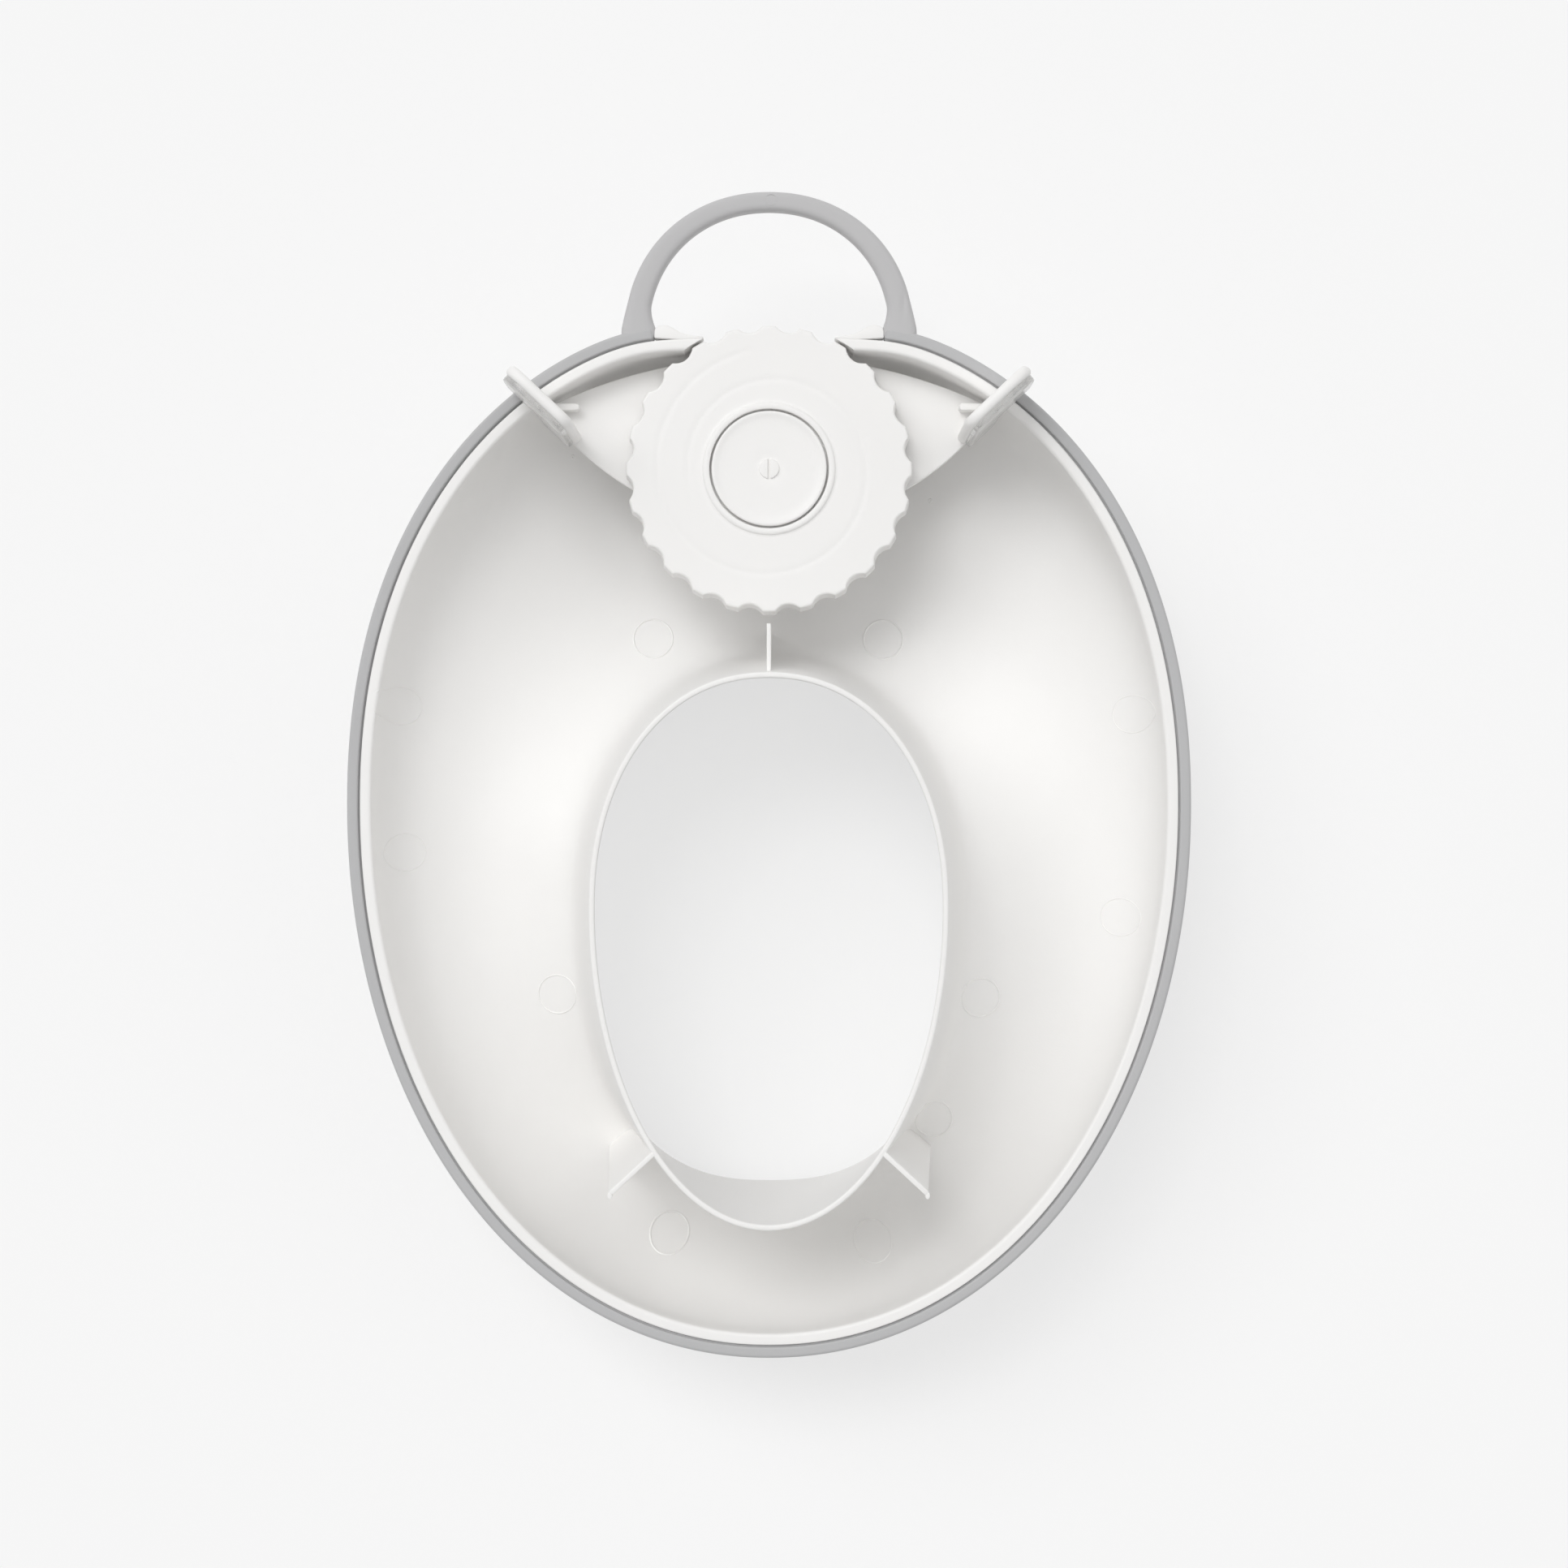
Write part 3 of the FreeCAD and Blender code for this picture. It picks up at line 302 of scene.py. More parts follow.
def bevelled(piece, width, segments=3, limit=40, sharp=35):
    bevel = piece.modifiers.new("rounding", "BEVEL")
    bevel.width = width * mm
    bevel.segments = segments
    bevel.limit_method = "ANGLE"
    bevel.angle_limit = math.radians(limit)
    bevel.use_clamp_overlap = True
    return applyAll(piece, sharp)


def settle(piece, body, node):
    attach(piece, body)
    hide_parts(node)
    return piece


def prism(name, outline, low, high, finish, hole=None):
    # An upright plate from a plan outline, with an opening if one is given
    shaped = bmesh.new()
    edges = []
    for loop in [outline] + ([hole] if hole else []):
        corners = [shaped.verts.new((x * mm, y * mm, low * mm)) for x, y in loop]
        edges += [shaped.edges.new((corners[i - 1], corners[i])) for i in range(len(corners))]
    bmesh.ops.triangle_fill(shaped, edges=edges, use_beauty=True, use_dissolve=True)
    grown = bmesh.ops.extrude_face_region(shaped, geom=list(shaped.faces))
    for item in grown["geom"]:
        if isinstance(item, bmesh.types.BMVert):
            item.co.z = high * mm
    bmesh.ops.recalc_face_normals(shaped, faces=shaped.faces)
    mesh = bpy.data.meshes.new(name)
    shaped.to_mesh(mesh)
    shaped.free()
    mesh.materials.append(finish)
    piece = bpy.data.objects.new(name, mesh)
    scene.collection.objects.link(piece)
    return piece


def lathe(name, profile, centreY, finish, columns=192, sharp=35):
    # Closed profile of (radius, height) turned about the hub
    turns = np.linspace(0, 2 * math.pi, columns, endpoint=False)
    rows = [np.stack([r * np.cos(turns), centreY + r * np.sin(turns), 0 * turns + z], 1)
            for r, z in profile]
    return addPiece(name, rows, gridFaces(len(rows), columns, closedRows=True), finish, sharp)


def arcPoints(centre, radius, start, end, count):
    angles = [math.radians(start + (end - start) * i / count) for i in range(count + 1)]
    return [(centre[0] + radius * math.cos(a), centre[1] + radius * math.sin(a)) for a in angles]


# Shell

shellLook = {
    "columns": 480, "rowsPerSpan": 6, "sharp": 30,
    "rimHalf": 155.48, "rimY": -10.9, "rimReach": (182.8, 204.2), "rimPower": (2.17, 2.06),
    "rearFlat": 161.2, "rearBlend": 4.0, "rimTop": 78.0, "beadWidth": 4.7, "beadHeight": 9.0,
    "lipWidth": 4.2, "lipDrop": 0.7, "lipRound": 0.5, "lipInner": 1.3,
    "holeY": -48.6, "holeHalf": 70.0, "holeReach": (90.0, 108.5), "holePower": (2.15, 2.5),
    "skirtHalf": 64.8, "skirtReach": (85.2, 115.8), "skirtPower": (2.15, 2.0),
    "skirtTop": 105.0, "skirtWall": 2.2, "skirtRound": 0.8, "wall": 2.5,
    "sideCrest": 33.0, "backCrest": 9.0, "guardCrest": 0.42,
    # share of the way from rim to hole, share of the way from rim height to crest
    "sideSection": [(0.014, 0.40), (0.07, 0.71), (0.21, 0.89), (0.45, 1.00), (0.76, 0.93),
                    (0.95, 0.80)],
    "rearSection": [(0.006, 0.34), (0.05, 0.60), (0.24, 0.80), (0.60, 1.00), (0.83, 0.98),
                    (0.96, 0.86)],
    "frontSection": [(0.015, 0.21), (0.10, 0.46), (0.31, 0.74), (0.57, 0.96), (0.85, 1.03),
                     (0.98, 0.95)],
    "skirtSection": [(0.0, 0.14), (0.45, 0.55), (1.0, 1.0)],
    "recessRadius": 53.7, "recessFloor": 60.3, "recessTop": 90.0, "recessSpan": (31, 149),
}
hubY = 112.6


def egg(turns, half, centreY, reaches, powers):
    # Closed plan line, with its own reach and fullness to the rear and to the front
    lift = np.sin(turns)
    power = np.where(lift > 0, powers[0], powers[1])
    length = np.where(lift > 0, reaches[0], reaches[1])
    radius = ((abs(np.cos(turns)) / half) ** power + (abs(lift) / length) ** power) ** (-1 / power)
    return np.stack([radius * np.cos(turns), centreY + radius * lift, 0 * turns], 1)


def rimLine(turns, inset, height=0.0):
    look = shellLook
    line = egg(turns, look["rimHalf"] - inset, look["rimY"],
               [r - inset for r in look["rimReach"]], look["rimPower"])
    flat = look["rearFlat"] + look["beadWidth"] - inset
    line[:, 1] = 0.5 * (line[:, 1] + flat - np.sqrt((line[:, 1] - flat) ** 2 + look["rearBlend"] ** 2))
    line[:, 2] = height
    return line


def skirtLine(turns, inset, height=0.0):
    look = shellLook
    line = egg(turns, look["skirtHalf"] - inset, look["holeY"],
               [r - inset for r in look["skirtReach"]], look["skirtPower"])
    line[:, 2] = height
    return line


def splineRows(net, perSpan):
    # Rows on the smooth curves that the rows of the net pull
    spans = len(net) - 3
    knots = [0.0] * 3 + [float(i) for i in range(spans + 1)] + [float(spans)] * 3
    rows = []
    for step in range(spans * perSpan + 1):
        place = min(step / perSpan, spans - 1e-9)
        basis = [1.0 if knots[i] <= place < knots[i + 1] else 0.0 for i in range(len(knots) - 1)]
        for degree in (1, 2, 3):
            grown = []
            for i in range(len(basis) - 1):
                rise, fall = knots[i + degree] - knots[i], knots[i + degree + 1] - knots[i + 1]
                first = (place - knots[i]) / rise * basis[i] if rise else 0.0
                second = (knots[i + degree + 1] - place) / fall * basis[i + 1] if fall else 0.0
                grown.append(first + second)
            basis = grown
        rows.append(sum(weight * row for weight, row in zip(basis, net)))
    return rows


def pushedRow(net, row, distance):
    # The row as it is a wall's thickness further in
    sideways = np.roll(net[row], -1, 0) - np.roll(net[row], 1, 0)
    inward = net[row + 1] - net[row - 1]
    normal = np.cross(inward, sideways)
    normal /= np.linalg.norm(normal, axis=1)[:, None]
    return net[row] - normal * distance


def shellRows(look):
    turns = np.linspace(0, 2 * math.pi, look["columns"], endpoint=False)
    lift = np.sin(turns)
    hole = egg(turns, look["holeHalf"], look["holeY"], look["holeReach"], look["holePower"])
    crest = np.where(lift > 0,
                     look["sideCrest"] + (look["backCrest"] - look["sideCrest"]) * lift ** 2,
                     look["sideCrest"] + (look["guardCrest"] - look["sideCrest"]) * abs(lift) ** 3)
    weight = np.where(lift > 0, lift ** 2, abs(lift) ** 3)
    bandLow = look["rimTop"] - look["beadHeight"]
    outer = [rimLine(turns, look["beadWidth"], bandLow)]
    for side, rear, front in zip(look["sideSection"], look["rearSection"], look["frontSection"]):
        other = [np.where(lift > 0, rear[k], front[k]) for k in (0, 1)]
        across = (side[0] + (other[0] - side[0]) * weight)[:, None]
        level = side[1] + (other[1] - side[1]) * weight
        row = rimLine(turns, look["beadWidth"]) * (1 - across) + hole * across
        row[:, 2] = look["rimTop"] + (crest - look["rimTop"]) * level
        outer.append(row)
    base = outer[-1]
    for mix, rise in look["skirtSection"]:
        row = hole * (1 - mix) + skirtLine(turns, look["skirtWall"]) * mix
        row[:, 2] = base[:, 2] + (look["skirtTop"] - base[:, 2]) * rise
        outer.append(row)
    lip = look["beadWidth"] + look["lipWidth"]
    lipTop = look["rimTop"] - look["lipDrop"]
    corner, soft, edge = look["lipRound"], look["lipInner"], look["skirtRound"]
    inner = [rimLine(turns, lip, lipTop - soft), rimLine(turns, lip, bandLow)]
    inner += [pushedRow(outer, row, look["wall"]) for row in range(1, len(outer) - 1)]
    inner.append(skirtLine(turns, 0, look["skirtTop"] - edge))
    outer[-1][:, 2] = look["skirtTop"] - edge

    def rounded(line, edgeInset, side, radius, top, steps):
        # Rows round an edge: side is 1 where the line moves inwards on its way up, else -1
        made = []
        for k in steps:
            across, down = (radius * (1 - turn(k * math.pi / 2)) for turn in (math.cos, math.sin))
            made.append(line(turns, edgeInset + side * across, top - down))
        return made

    rows = [rimLine(turns, look["beadWidth"], lipTop - corner)]
    rows += rounded(rimLine, look["beadWidth"], 1, corner, lipTop, (0.3, 0.7))
    flat = look["lipWidth"] - corner - soft
    rows += [rimLine(turns, look["beadWidth"] + corner + flat * k, lipTop)
             for k in (0.0, 0.25, 0.5, 0.75, 1.0)]
    rows += rounded(rimLine, lip, -1, soft, lipTop, (0.85, 0.65, 0.45, 0.25))
    rows += splineRows(inner, look["rowsPerSpan"])
    steps = (0.15, 0.3, 0.45, 0.6, 0.8, 1.0)
    rows += rounded(skirtLine, 0.0, 1, edge, look["skirtTop"], steps)
    rows += rounded(skirtLine, look["skirtWall"], -1, edge, look["skirtTop"], steps[::-1])
    rows += splineRows(outer, look["rowsPerSpan"])[::-1]
    return rows


rows = shellRows(shellLook)
shell = addPiece("shell_moulding", rows, gridFaces(len(rows), shellLook["columns"], closedRows=True),
                 whiteFinish, shellLook["sharp"])

# The dial reaches over the rear rim, which makes way for it
recess = arcPoints((0, hubY), shellLook["recessRadius"], *shellLook["recessSpan"], 48)
recessCutter = prism("recess_cutter", recess, shellLook["recessFloor"], shellLook["recessTop"], whiteFinish)
cut = shell.modifiers.new("recess", "BOOLEAN")
cut.operation = "DIFFERENCE"
cut.solver = "EXACT"
cut.object = recessCutter
applyAll(shell, shellLook["sharp"])
bpy.data.objects.remove(recessCutter)
settle(shell, "shell", "seat_shell")

bpy.context.view_layer.update()
shellTree = BVHTree.FromPolygons([v.co.copy() for v in shell.data.vertices],
                                 [tuple(p.vertices) for p in shell.data.polygons])


def dropTo(start, heading=(0, 0, -1)):
    # Where a line from start, in millimetres, meets the shell
    found = shellTree.ray_cast(Vector(start) * mm, Vector(heading).normalized())[0]
    return None if found is None else np.array(found) / mm


print("shell ready")

# Ribs, post and plates that stand on the shell

standLook = {
    "postRadius": 14.0, "postBore": 12.0, "postTop": 73.3,
    "deckTop": 56.7, "deckWall": 2.2, "deckReach": 26.0,
    "sideRib": (60.0, 119.0, 141.0),          # x, first y, last y
    "centreRib": (37.0, 54.4, 98.0, 1.5),     # first y, last y, top, wall
    "wedgeInner": (40.2, -135.5), "wedgeOuter": (56.9, -150.9), "wedgeWall": 1.8,
    "wedgeLean": (5.2, 6.6, -93.0), "wedgeNub": 0.9,
    "sunk": 1.2,                              # how far feet and edges go into the shell
}


def standingPlate(name, start, end, wall, top, heading=(0, 0, -1), steps=24, rounding=0.35):
    # A plate whose foot follows the shell under it
    first, last = np.array(start + (top,), float), np.array(end + (top,), float)
    heading = np.array(heading, float) / np.linalg.norm(heading)
    across = np.cross(last - first, (0, 0, 1))
    across *= wall / 2 / np.linalg.norm(across)
    feet = []
    for i in range(steps + 1):
        spot = first + (last - first) * i / steps
        hit = dropTo(spot + heading * 0.5, heading)
        feet.append(hit if hit is not None else spot + heading * 5)
    depths = np.array([np.dot(foot - first, heading) for foot in feet])
    tall = np.median(depths)
    depths = np.where(depths < 0.35 * tall, tall, depths)    # where the line met something else first
    points = []
    for i in range(steps + 1):
        spot = first + (last - first) * i / steps
        foot = spot + heading * (depths[i] + standLook["sunk"])
        points += [spot - across, spot + across, foot + across, foot - across]
    piece = addPiece(name, points, tubeFaces(steps + 1, 4), whiteFinish)
    bevelled(piece, rounding, 2, 60)
    return settle(piece, "shell", "seat_shell")


look = standLook
ground = dropTo((0, hubY, look["postTop"]))[2] - look["sunk"]
post = lathe("hub_post", [
    (look["postBore"], look["postTop"]), (look["postRadius"], look["postTop"]),
    (look["postRadius"], ground), (look["postBore"], ground)], hubY, whiteFinish)
settle(post, "shell", "seat_shell")
for name, start, end in (
        ("deck_rib_left", (-look["postRadius"] + 0.5, hubY), (-look["deckReach"], hubY)),
        ("deck_rib_right", (look["postRadius"] - 0.5, hubY), (look["deckReach"], hubY)),
        ("deck_rib_front", (0, hubY - look["postRadius"] + 0.5), (0, hubY - look["deckReach"])),
        ("deck_rib_rear", (0, hubY + look["postRadius"] - 0.5), (0, hubY + look["deckReach"]))):
    standingPlate(name, start, end, look["deckWall"], look["deckTop"])
x, y0, y1 = look["sideRib"]
standingPlate("slide_rib_left", (-x, y0), (-x, y1), look["deckWall"], look["deckTop"])
standingPlate("slide_rib_right", (x, y0), (x, y1), look["deckWall"], look["deckTop"])


def skirtPlate(name, inner, outer, heading, wall, levels=30, steps=10):
    # A plate between the skirt and the sitting side, whose inner edge follows the skirt
    inner, outer, heading = np.array(inner, float), np.array(outer, float), np.array(heading, float)
    heading /= np.linalg.norm(heading)
    inwards = (inner - outer) / np.linalg.norm(inner - outer)
    across = np.cross(inwards, (0, 0, 1)) * wall / 2
    tall = np.linalg.norm(dropTo(outer + heading, heading) - outer)
    points = []
    for level in range(levels + 1):
        spot = outer + heading * tall * 0.985 * level / levels
        probe = spot + (heading * 1.6 if level == 0 else 0)
        hit = dropTo(probe, inwards)
        reach = np.linalg.norm(hit - probe) + standLook["sunk"]
        if level == levels:
            spot = spot + heading * standLook["sunk"]
        for step in range(steps + 1):
            place = spot + inwards * reach * step / steps
            points += [place - across, place + across]
    size = 2 * (steps + 1)
    ring = [2 * k for k in range(steps + 1)] + [2 * k + 1 for k in reversed(range(steps + 1))]
    points = [points[level * size + k] for level in range(levels + 1) for k in ring]
    piece = addPiece(name, points, tubeFaces(levels + 1, size), whiteFinish)
    bevelled(piece, 0.3, 2, 60)
    settle(piece, "shell", "seat_shell")
    return outer, across


y0, y1, top, wall = look["centreRib"]
skirtPlate("centre_rib", (0, y0, top), (0, y1, top), (0, 0, -1), wall)


def wedgePiece(name, side, look):
    top = shellLook["skirtTop"] - 0.05
    inner = (side * look["wedgeInner"][0], look["wedgeInner"][1], top)
    outer = (side * look["wedgeOuter"][0], look["wedgeOuter"][1], top)
    lean = (side * look["wedgeLean"][0],) + look["wedgeLean"][1:]
    outer, across = skirtPlate(name, inner, outer, lean, look["wedgeWall"])
    # The bent corner that closes the outer end of the near edge
    nub = look["wedgeNub"]
    foot = outer + across * 0.4 * side
    outline = [(foot[0] + nub * math.cos(t), foot[1] - 1.1 + 1.5 * nub * math.sin(t))
               for t in np.linspace(0, 2 * math.pi, 20, endpoint=False)]
    tip = prism(name + "_nub", outline, top - 6, top - 0.3, whiteFinish)
    bevelled(tip, 0.3, 2, 50)
    settle(tip, "shell", "seat_shell")


wedgePiece("wedge_left", -1, look)
wedgePiece("wedge_right", 1, look)

# White lugs of the rear rim beside the feet of the carrying loop
lugLook = {
    "outline": [(42.3, 160.6), (42.2, 163.2), (41.8, 164.4), (40.8, 165.1), (39.0, 165.4),
                (37.2, 165.2), (35.2, 164.2), (33.2, 162.9), (31.2, 162.1), (28.5, 161.6),
                (24.5, 161.2), (24.0, 160.4), (32.0, 160.0)],
    "low": 69.4, "high": 77.25, "rounding": 0.7,
}
for side, word in ((-1, "left"), (1, "right")):
    lug = prism("rear_lug_" + word, [(side * x, y) for x, y in lugLook["outline"]], lugLook["low"],
                lugLook["high"], whiteFinish)
    bevelled(lug, lugLook["rounding"], 4, 60)
    settle(lug, "shell", "seat_shell")
print("ribs and plates ready")

# Soft edge and carrying loop

edgeLook = {
    "columns": 520, "sharp": 50,
    "gate": 42.3, "tip": 1.8,    # where the strip ends beside the dial, and how long its rounded tip is
    "seam": 0.7, "seamFloor": 75.9, "seamRound": 0.7, "rounding": 1.3, "clear": 0.1,
    "loopY": 162.0, "loopHalf": 48.9, "loopReach": 49.1, "loopPower": 2.1,
    "topWidth": 7.2, "legWidth": 8.8, "thick": 8.6, "loopTop": 77.96,
    "flare": 2.9, "outerFlare": 1.2, "flareFrom": 174.0, "flareTo": 164.0, "foot": 0.5, "boxiness": 3.4,
    "dent": (49.6, 173.4, 0.5, 0.9, 4.2),    # x, y, depth, half width, half length
    "steps": 200, "footSteps": 12, "round": 64,
}


def beadSection(look):
    # Rounded strip with a narrow seam beside the white lip, as (inset, height)
    top, low, r = shellLook["rimTop"], shellLook["rimTop"] - shellLook["beadHeight"], look["rounding"]
    inside = shellLook["beadWidth"] - look["clear"]
    seam, small = shellLook["beadWidth"] - look["seam"], look["seamRound"]
    section = [(inside, low), (inside, look["seamFloor"] - 0.3), (inside - 0.3, look["seamFloor"]),
               (seam, look["seamFloor"] + 0.1), (seam, top - small - 0.2)]
    section += arcPoints((seam - small, top - small), small, 0, 90, 6)
    section += arcPoints((r, top - r), r, 90, 180, 8)
    section += arcPoints((r, low + r), r, 180, 270, 8)
    return section


def beadPiece(look):
    probe = np.linspace(math.pi / 4, math.pi / 2, 2000)
    start = probe[np.argmin(abs(rimLine(probe, 2.0)[:, 0] - look["gate"]))]
    tipTurn = look["tip"] / 180.0    # in radians, the tip is about 180 mm from the middle
    fine = 1 - np.cos(np.linspace(0, math.pi / 2, 9))
    end = -math.pi - start
    turns = np.concatenate([start - tipTurn * fine, np.linspace(start, end, look["columns"])[2:-2],
                            end + tipTurn * fine[::-1]])
    section = beadSection(look)
    lines = np.stack([rimLine(turns, inset, height) for inset, height in section], 1)
    # Rounded ends
    for k in range(len(fine)):
        shrink = max(0.05, math.sqrt(1 - (1 - fine[k]) ** 2))
        for place in (k, len(turns) - 1 - k):
            middle = lines[place].mean(0)
            lines[place] = middle + (lines[place] - middle) * shrink
    return addPiece("rim_bead", lines, tubeFaces(len(turns), len(section)), greyFinish, look["sharp"])


bead = settle(beadPiece(edgeLook), "shell", "rim_grip")


def loopMiddle(turns, look):
    inside, power = np.clip(turns, 0, math.pi), look["loopPower"]
    radius = ((abs(np.cos(inside)) / look["loopHalf"]) ** power
              + (abs(np.sin(inside)) / look["loopReach"]) ** power) ** (-1 / power)
    line = np.stack([radius * np.cos(inside), look["loopY"] + radius * np.sin(inside), 0 * turns], 1)
    line[:, 1] -= np.where(turns < 0, -turns, np.where(turns > math.pi, turns - math.pi, 0))
    return line


def loopPiece(look):
    turns = np.concatenate([np.linspace(-look["foot"], 0, look["footSteps"], endpoint=False),
                            np.linspace(0, math.pi, look["steps"]),
                            math.pi + np.linspace(0, look["foot"], look["footSteps"] + 1)[1:]])
    middle = loopMiddle(turns, look)
    heading = np.gradient(middle, axis=0)
    heading /= np.linalg.norm(heading, axis=1)[:, None]
    outward = np.cross(heading, (0, 0, 1))
    inTurn = np.clip(turns, 0, math.pi)
    width = look["topWidth"] + (look["legWidth"] - look["topWidth"]) * np.cos(inTurn) ** 2
    share = np.clip((look["flareFrom"] - middle[:, 1]) / (look["flareFrom"] - look["flareTo"]), 0, 1)
    flare, outerFlare = look["flare"] * share ** 1.5, look["outerFlare"] * share ** 1.5
    dentX, dentY, dentDepth, dentHalf, dentLong = look["dent"]
    points, power = [], look["boxiness"]
    for i in range(look["round"]):
        angle = 2 * math.pi * i / look["round"]
        size = (abs(math.cos(angle)) ** power + abs(math.sin(angle)) ** power) ** (-1 / power)
        across, upward = size * math.cos(angle), size * math.sin(angle)
        spread = width / 2 + (flare if across < 0 else outerFlare)
        line = middle + outward * (across * spread)[:, None]
        line[:, 2] = look["loopTop"] - look["thick"] / 2 + upward * look["thick"] / 2
        if upward > 0.5:
            line[:, 2] -= dentDepth * np.exp(-((line[:, 0] - dentX) / dentHalf) ** 2
                                             - ((line[:, 1] - dentY) / dentLong) ** 2)
        points.append(line)
    faces = tubeFaces(len(turns), look["round"])
    return addPiece("carrying_loop", np.stack(points, 1), faces, loopFinish, look["sharp"])


loop = settle(loopPiece(edgeLook), "shell", "rim_grip")
print("soft edge and loop ready")

# Dial and cap

dialLook = {
    "columns": 576, "sharp": 38,
    "radius": 53.1,
    "count": 24, "cut": 6.0, "depth": 2.2, "soften": 0.5,    # scallops, where cut is the radius of each
    "faceZ": 76.0, "skirtLow": 62.0, "wall": 2.5, "edgeRound": 0.9,
    "hubInner": 22.0, "hubOuter": 24.4, "hubTop": 77.0, "shelfTop": 73.0, "shelfLow": 70.5,
    "bore": 14.3, "sleeve": 17.0, "sleeveLow": 60.6,
    "camRadius": 29.3, "camPitch": 11.4, "camTurns": 1.305, "camStart": 155.0,
    "camHalf": 1.0, "camLow": 62.0, "camTop": 74.75, "camSteps": 160,
    "sinkDepth": 0.14, "sinkWidth": 1.1, "sinkFade": 0.2, "draft": 0.3,
    "flatFrom": 25.5, "scallopFrom": 47.5, "scallopRun": 4.7,    # the scallops fade out towards the hub
}


def scallopRadius(turns, look):
    step = 2 * math.pi / look["count"]
    offset = (turns % step) - step / 2
    reach = look["radius"] - look["depth"] + look["cut"]
    inside = look["cut"] ** 2 - (reach * np.sin(offset)) ** 2
    bite = reach * np.cos(offset) - np.sqrt(np.clip(inside, 0.0, None))
    bite = np.where(inside > 0, bite, look["radius"] + 3 + 40 * abs(offset))
    full = look["radius"] + 0.25
    soft = 0.5 * (bite + full - np.sqrt((bite - full) ** 2 + look["soften"] ** 2))
    return np.minimum(soft, look["radius"])


def dialPiece(look):
    turns = np.linspace(0, 2 * math.pi, look["columns"], endpoint=False)
    rim = scallopRadius(turns, look) - look["radius"]
    r, e = look["radius"], look["edgeRound"]
    face, ring = look["faceZ"], look["hubTop"]
    profile = [(look["bore"], look["shelfTop"], 0), (look["hubInner"], look["shelfTop"], 0),
               (look["hubInner"], ring - 0.5, 0), (look["hubInner"] + 0.15, ring - 0.15, 0),
               (look["hubInner"] + 0.5, ring, 0), (look["hubOuter"] - 0.8, ring, 0),
               (look["hubOuter"] - 0.3, ring - 0.15, 0), (look["hubOuter"], ring - 0.5, 0),
               (look["hubOuter"] + 0.15, face + 0.2, 0), (look["hubOuter"] + 0.6, face, 0)]
    for i in range(54):
        far = look["flatFrom"] + 0.5 * i
        profile.append((far, face, max(0, (far - look["scallopFrom"]) / look["scallopRun"])))
    for k in range(1, 7):
        angle = math.radians(90 * k / 6)
        profile.append((r - look["draft"] - e + e * math.sin(angle), face - e + e * math.cos(angle), 1))
    wide, low = r + look["draft"], look["skirtLow"]
    inner = r - look["depth"] - look["wall"]
    profile += [(wide, low + 0.4, 1), (wide - 0.4, low, 1), (inner, low, 0),
                (inner, face - look["wall"], 0), (look["hubOuter"], face - look["wall"], 0),
                (look["hubOuter"], low, 0), (look["hubInner"], low, 0),
                (look["hubInner"], look["shelfLow"], 0), (look["sleeve"], look["shelfLow"], 0),
                (look["sleeve"], look["sleeveLow"], 0), (look["bore"], look["sleeveLow"], 0)]
    rows = []
    for radius, height, weight in profile:
        far = radius + rim * weight
        rows.append(np.stack([far * np.cos(turns), hubY + far * np.sin(turns), 0 * turns + height], 1))
    # The spiral rib underneath has drawn the face down a little along its path
    whole = 2 * math.pi
    for row, (radius, height, weight) in zip(rows, profile):
        if height == face:
            far = np.hypot(row[:, 0], row[:, 1] - hubY)
            clockwise = -np.arctan2(row[:, 1] - hubY, row[:, 0]) - math.radians(look["camStart"])
            sink = 0 * far
            for lap in (0, 1):
                travelled = clockwise % whole + whole * lap
                middle = look["camRadius"] + look["camPitch"] * travelled / whole
                left = look["camTurns"] * whole - travelled
                fade = (np.clip(left / look["sinkFade"], 0, 1)
                        * np.clip(travelled / look["sinkFade"], 0, 1))
                sink += fade * np.exp(-((far - middle) / look["sinkWidth"]) ** 2)
            row[:, 2] -= look["sinkDepth"] * sink
    faces = gridFaces(len(rows), look["columns"], closedRows=True)
    return addPiece("adjuster_dial_wheel", rows, faces, whiteFinish, look["sharp"])


dial = settle(dialPiece(dialLook), "dial", "adjuster_dial")


def camPiece(look):
    # Spiral rib under the face, which moves the pegs of the slide
    travelled = np.linspace(0, look["camTurns"] * 2 * math.pi, look["camSteps"])
    angle = -math.radians(look["camStart"]) - travelled
    half, low, top = look["camHalf"], look["camLow"], look["camTop"]
    lines = []
    for shift, height in ((-half, low), (half, low), (half, top), (-half, top)):
        far = look["camRadius"] + look["camPitch"] * travelled / (2 * math.pi) + shift
        lines.append(np.stack([far * np.cos(angle), hubY + far * np.sin(angle), 0 * angle + height], 1))
    return addPiece("dial_cam_rib", np.stack(lines, 1), tubeFaces(look["camSteps"], 4), whiteFinish)


settle(camPiece(dialLook), "dial", "adjuster_dial")

capLook = {
    "columns": 160, "sharp": 30,
    "radius": 21.2, "top": 77.2, "low": 73.3, "dish": 0.7, "thick": 0.7,
    # radius and height above the dish, from the middle out
    "dimple": [(0.02, -0.25), (2.0, -0.25), (4.2, -0.2), (5.5, -0.08), (7.5, 0)],
    # distance in from the edge and height below the top, round the raised edge
    "edge": [(1.5, 0.2), (1.0, 0.05), (0.6, 0), (0.25, 0.1), (0.05, 0.3), (0, 0.6)],
    "bossRadius": 3.7, "bossTop": 77.2, "bossRoot": 0.6, "bossRound": 0.45, "slot": 0.8,
    "plug": 11.95, "plugWall": 1.8, "plugLow": 53.3,
}


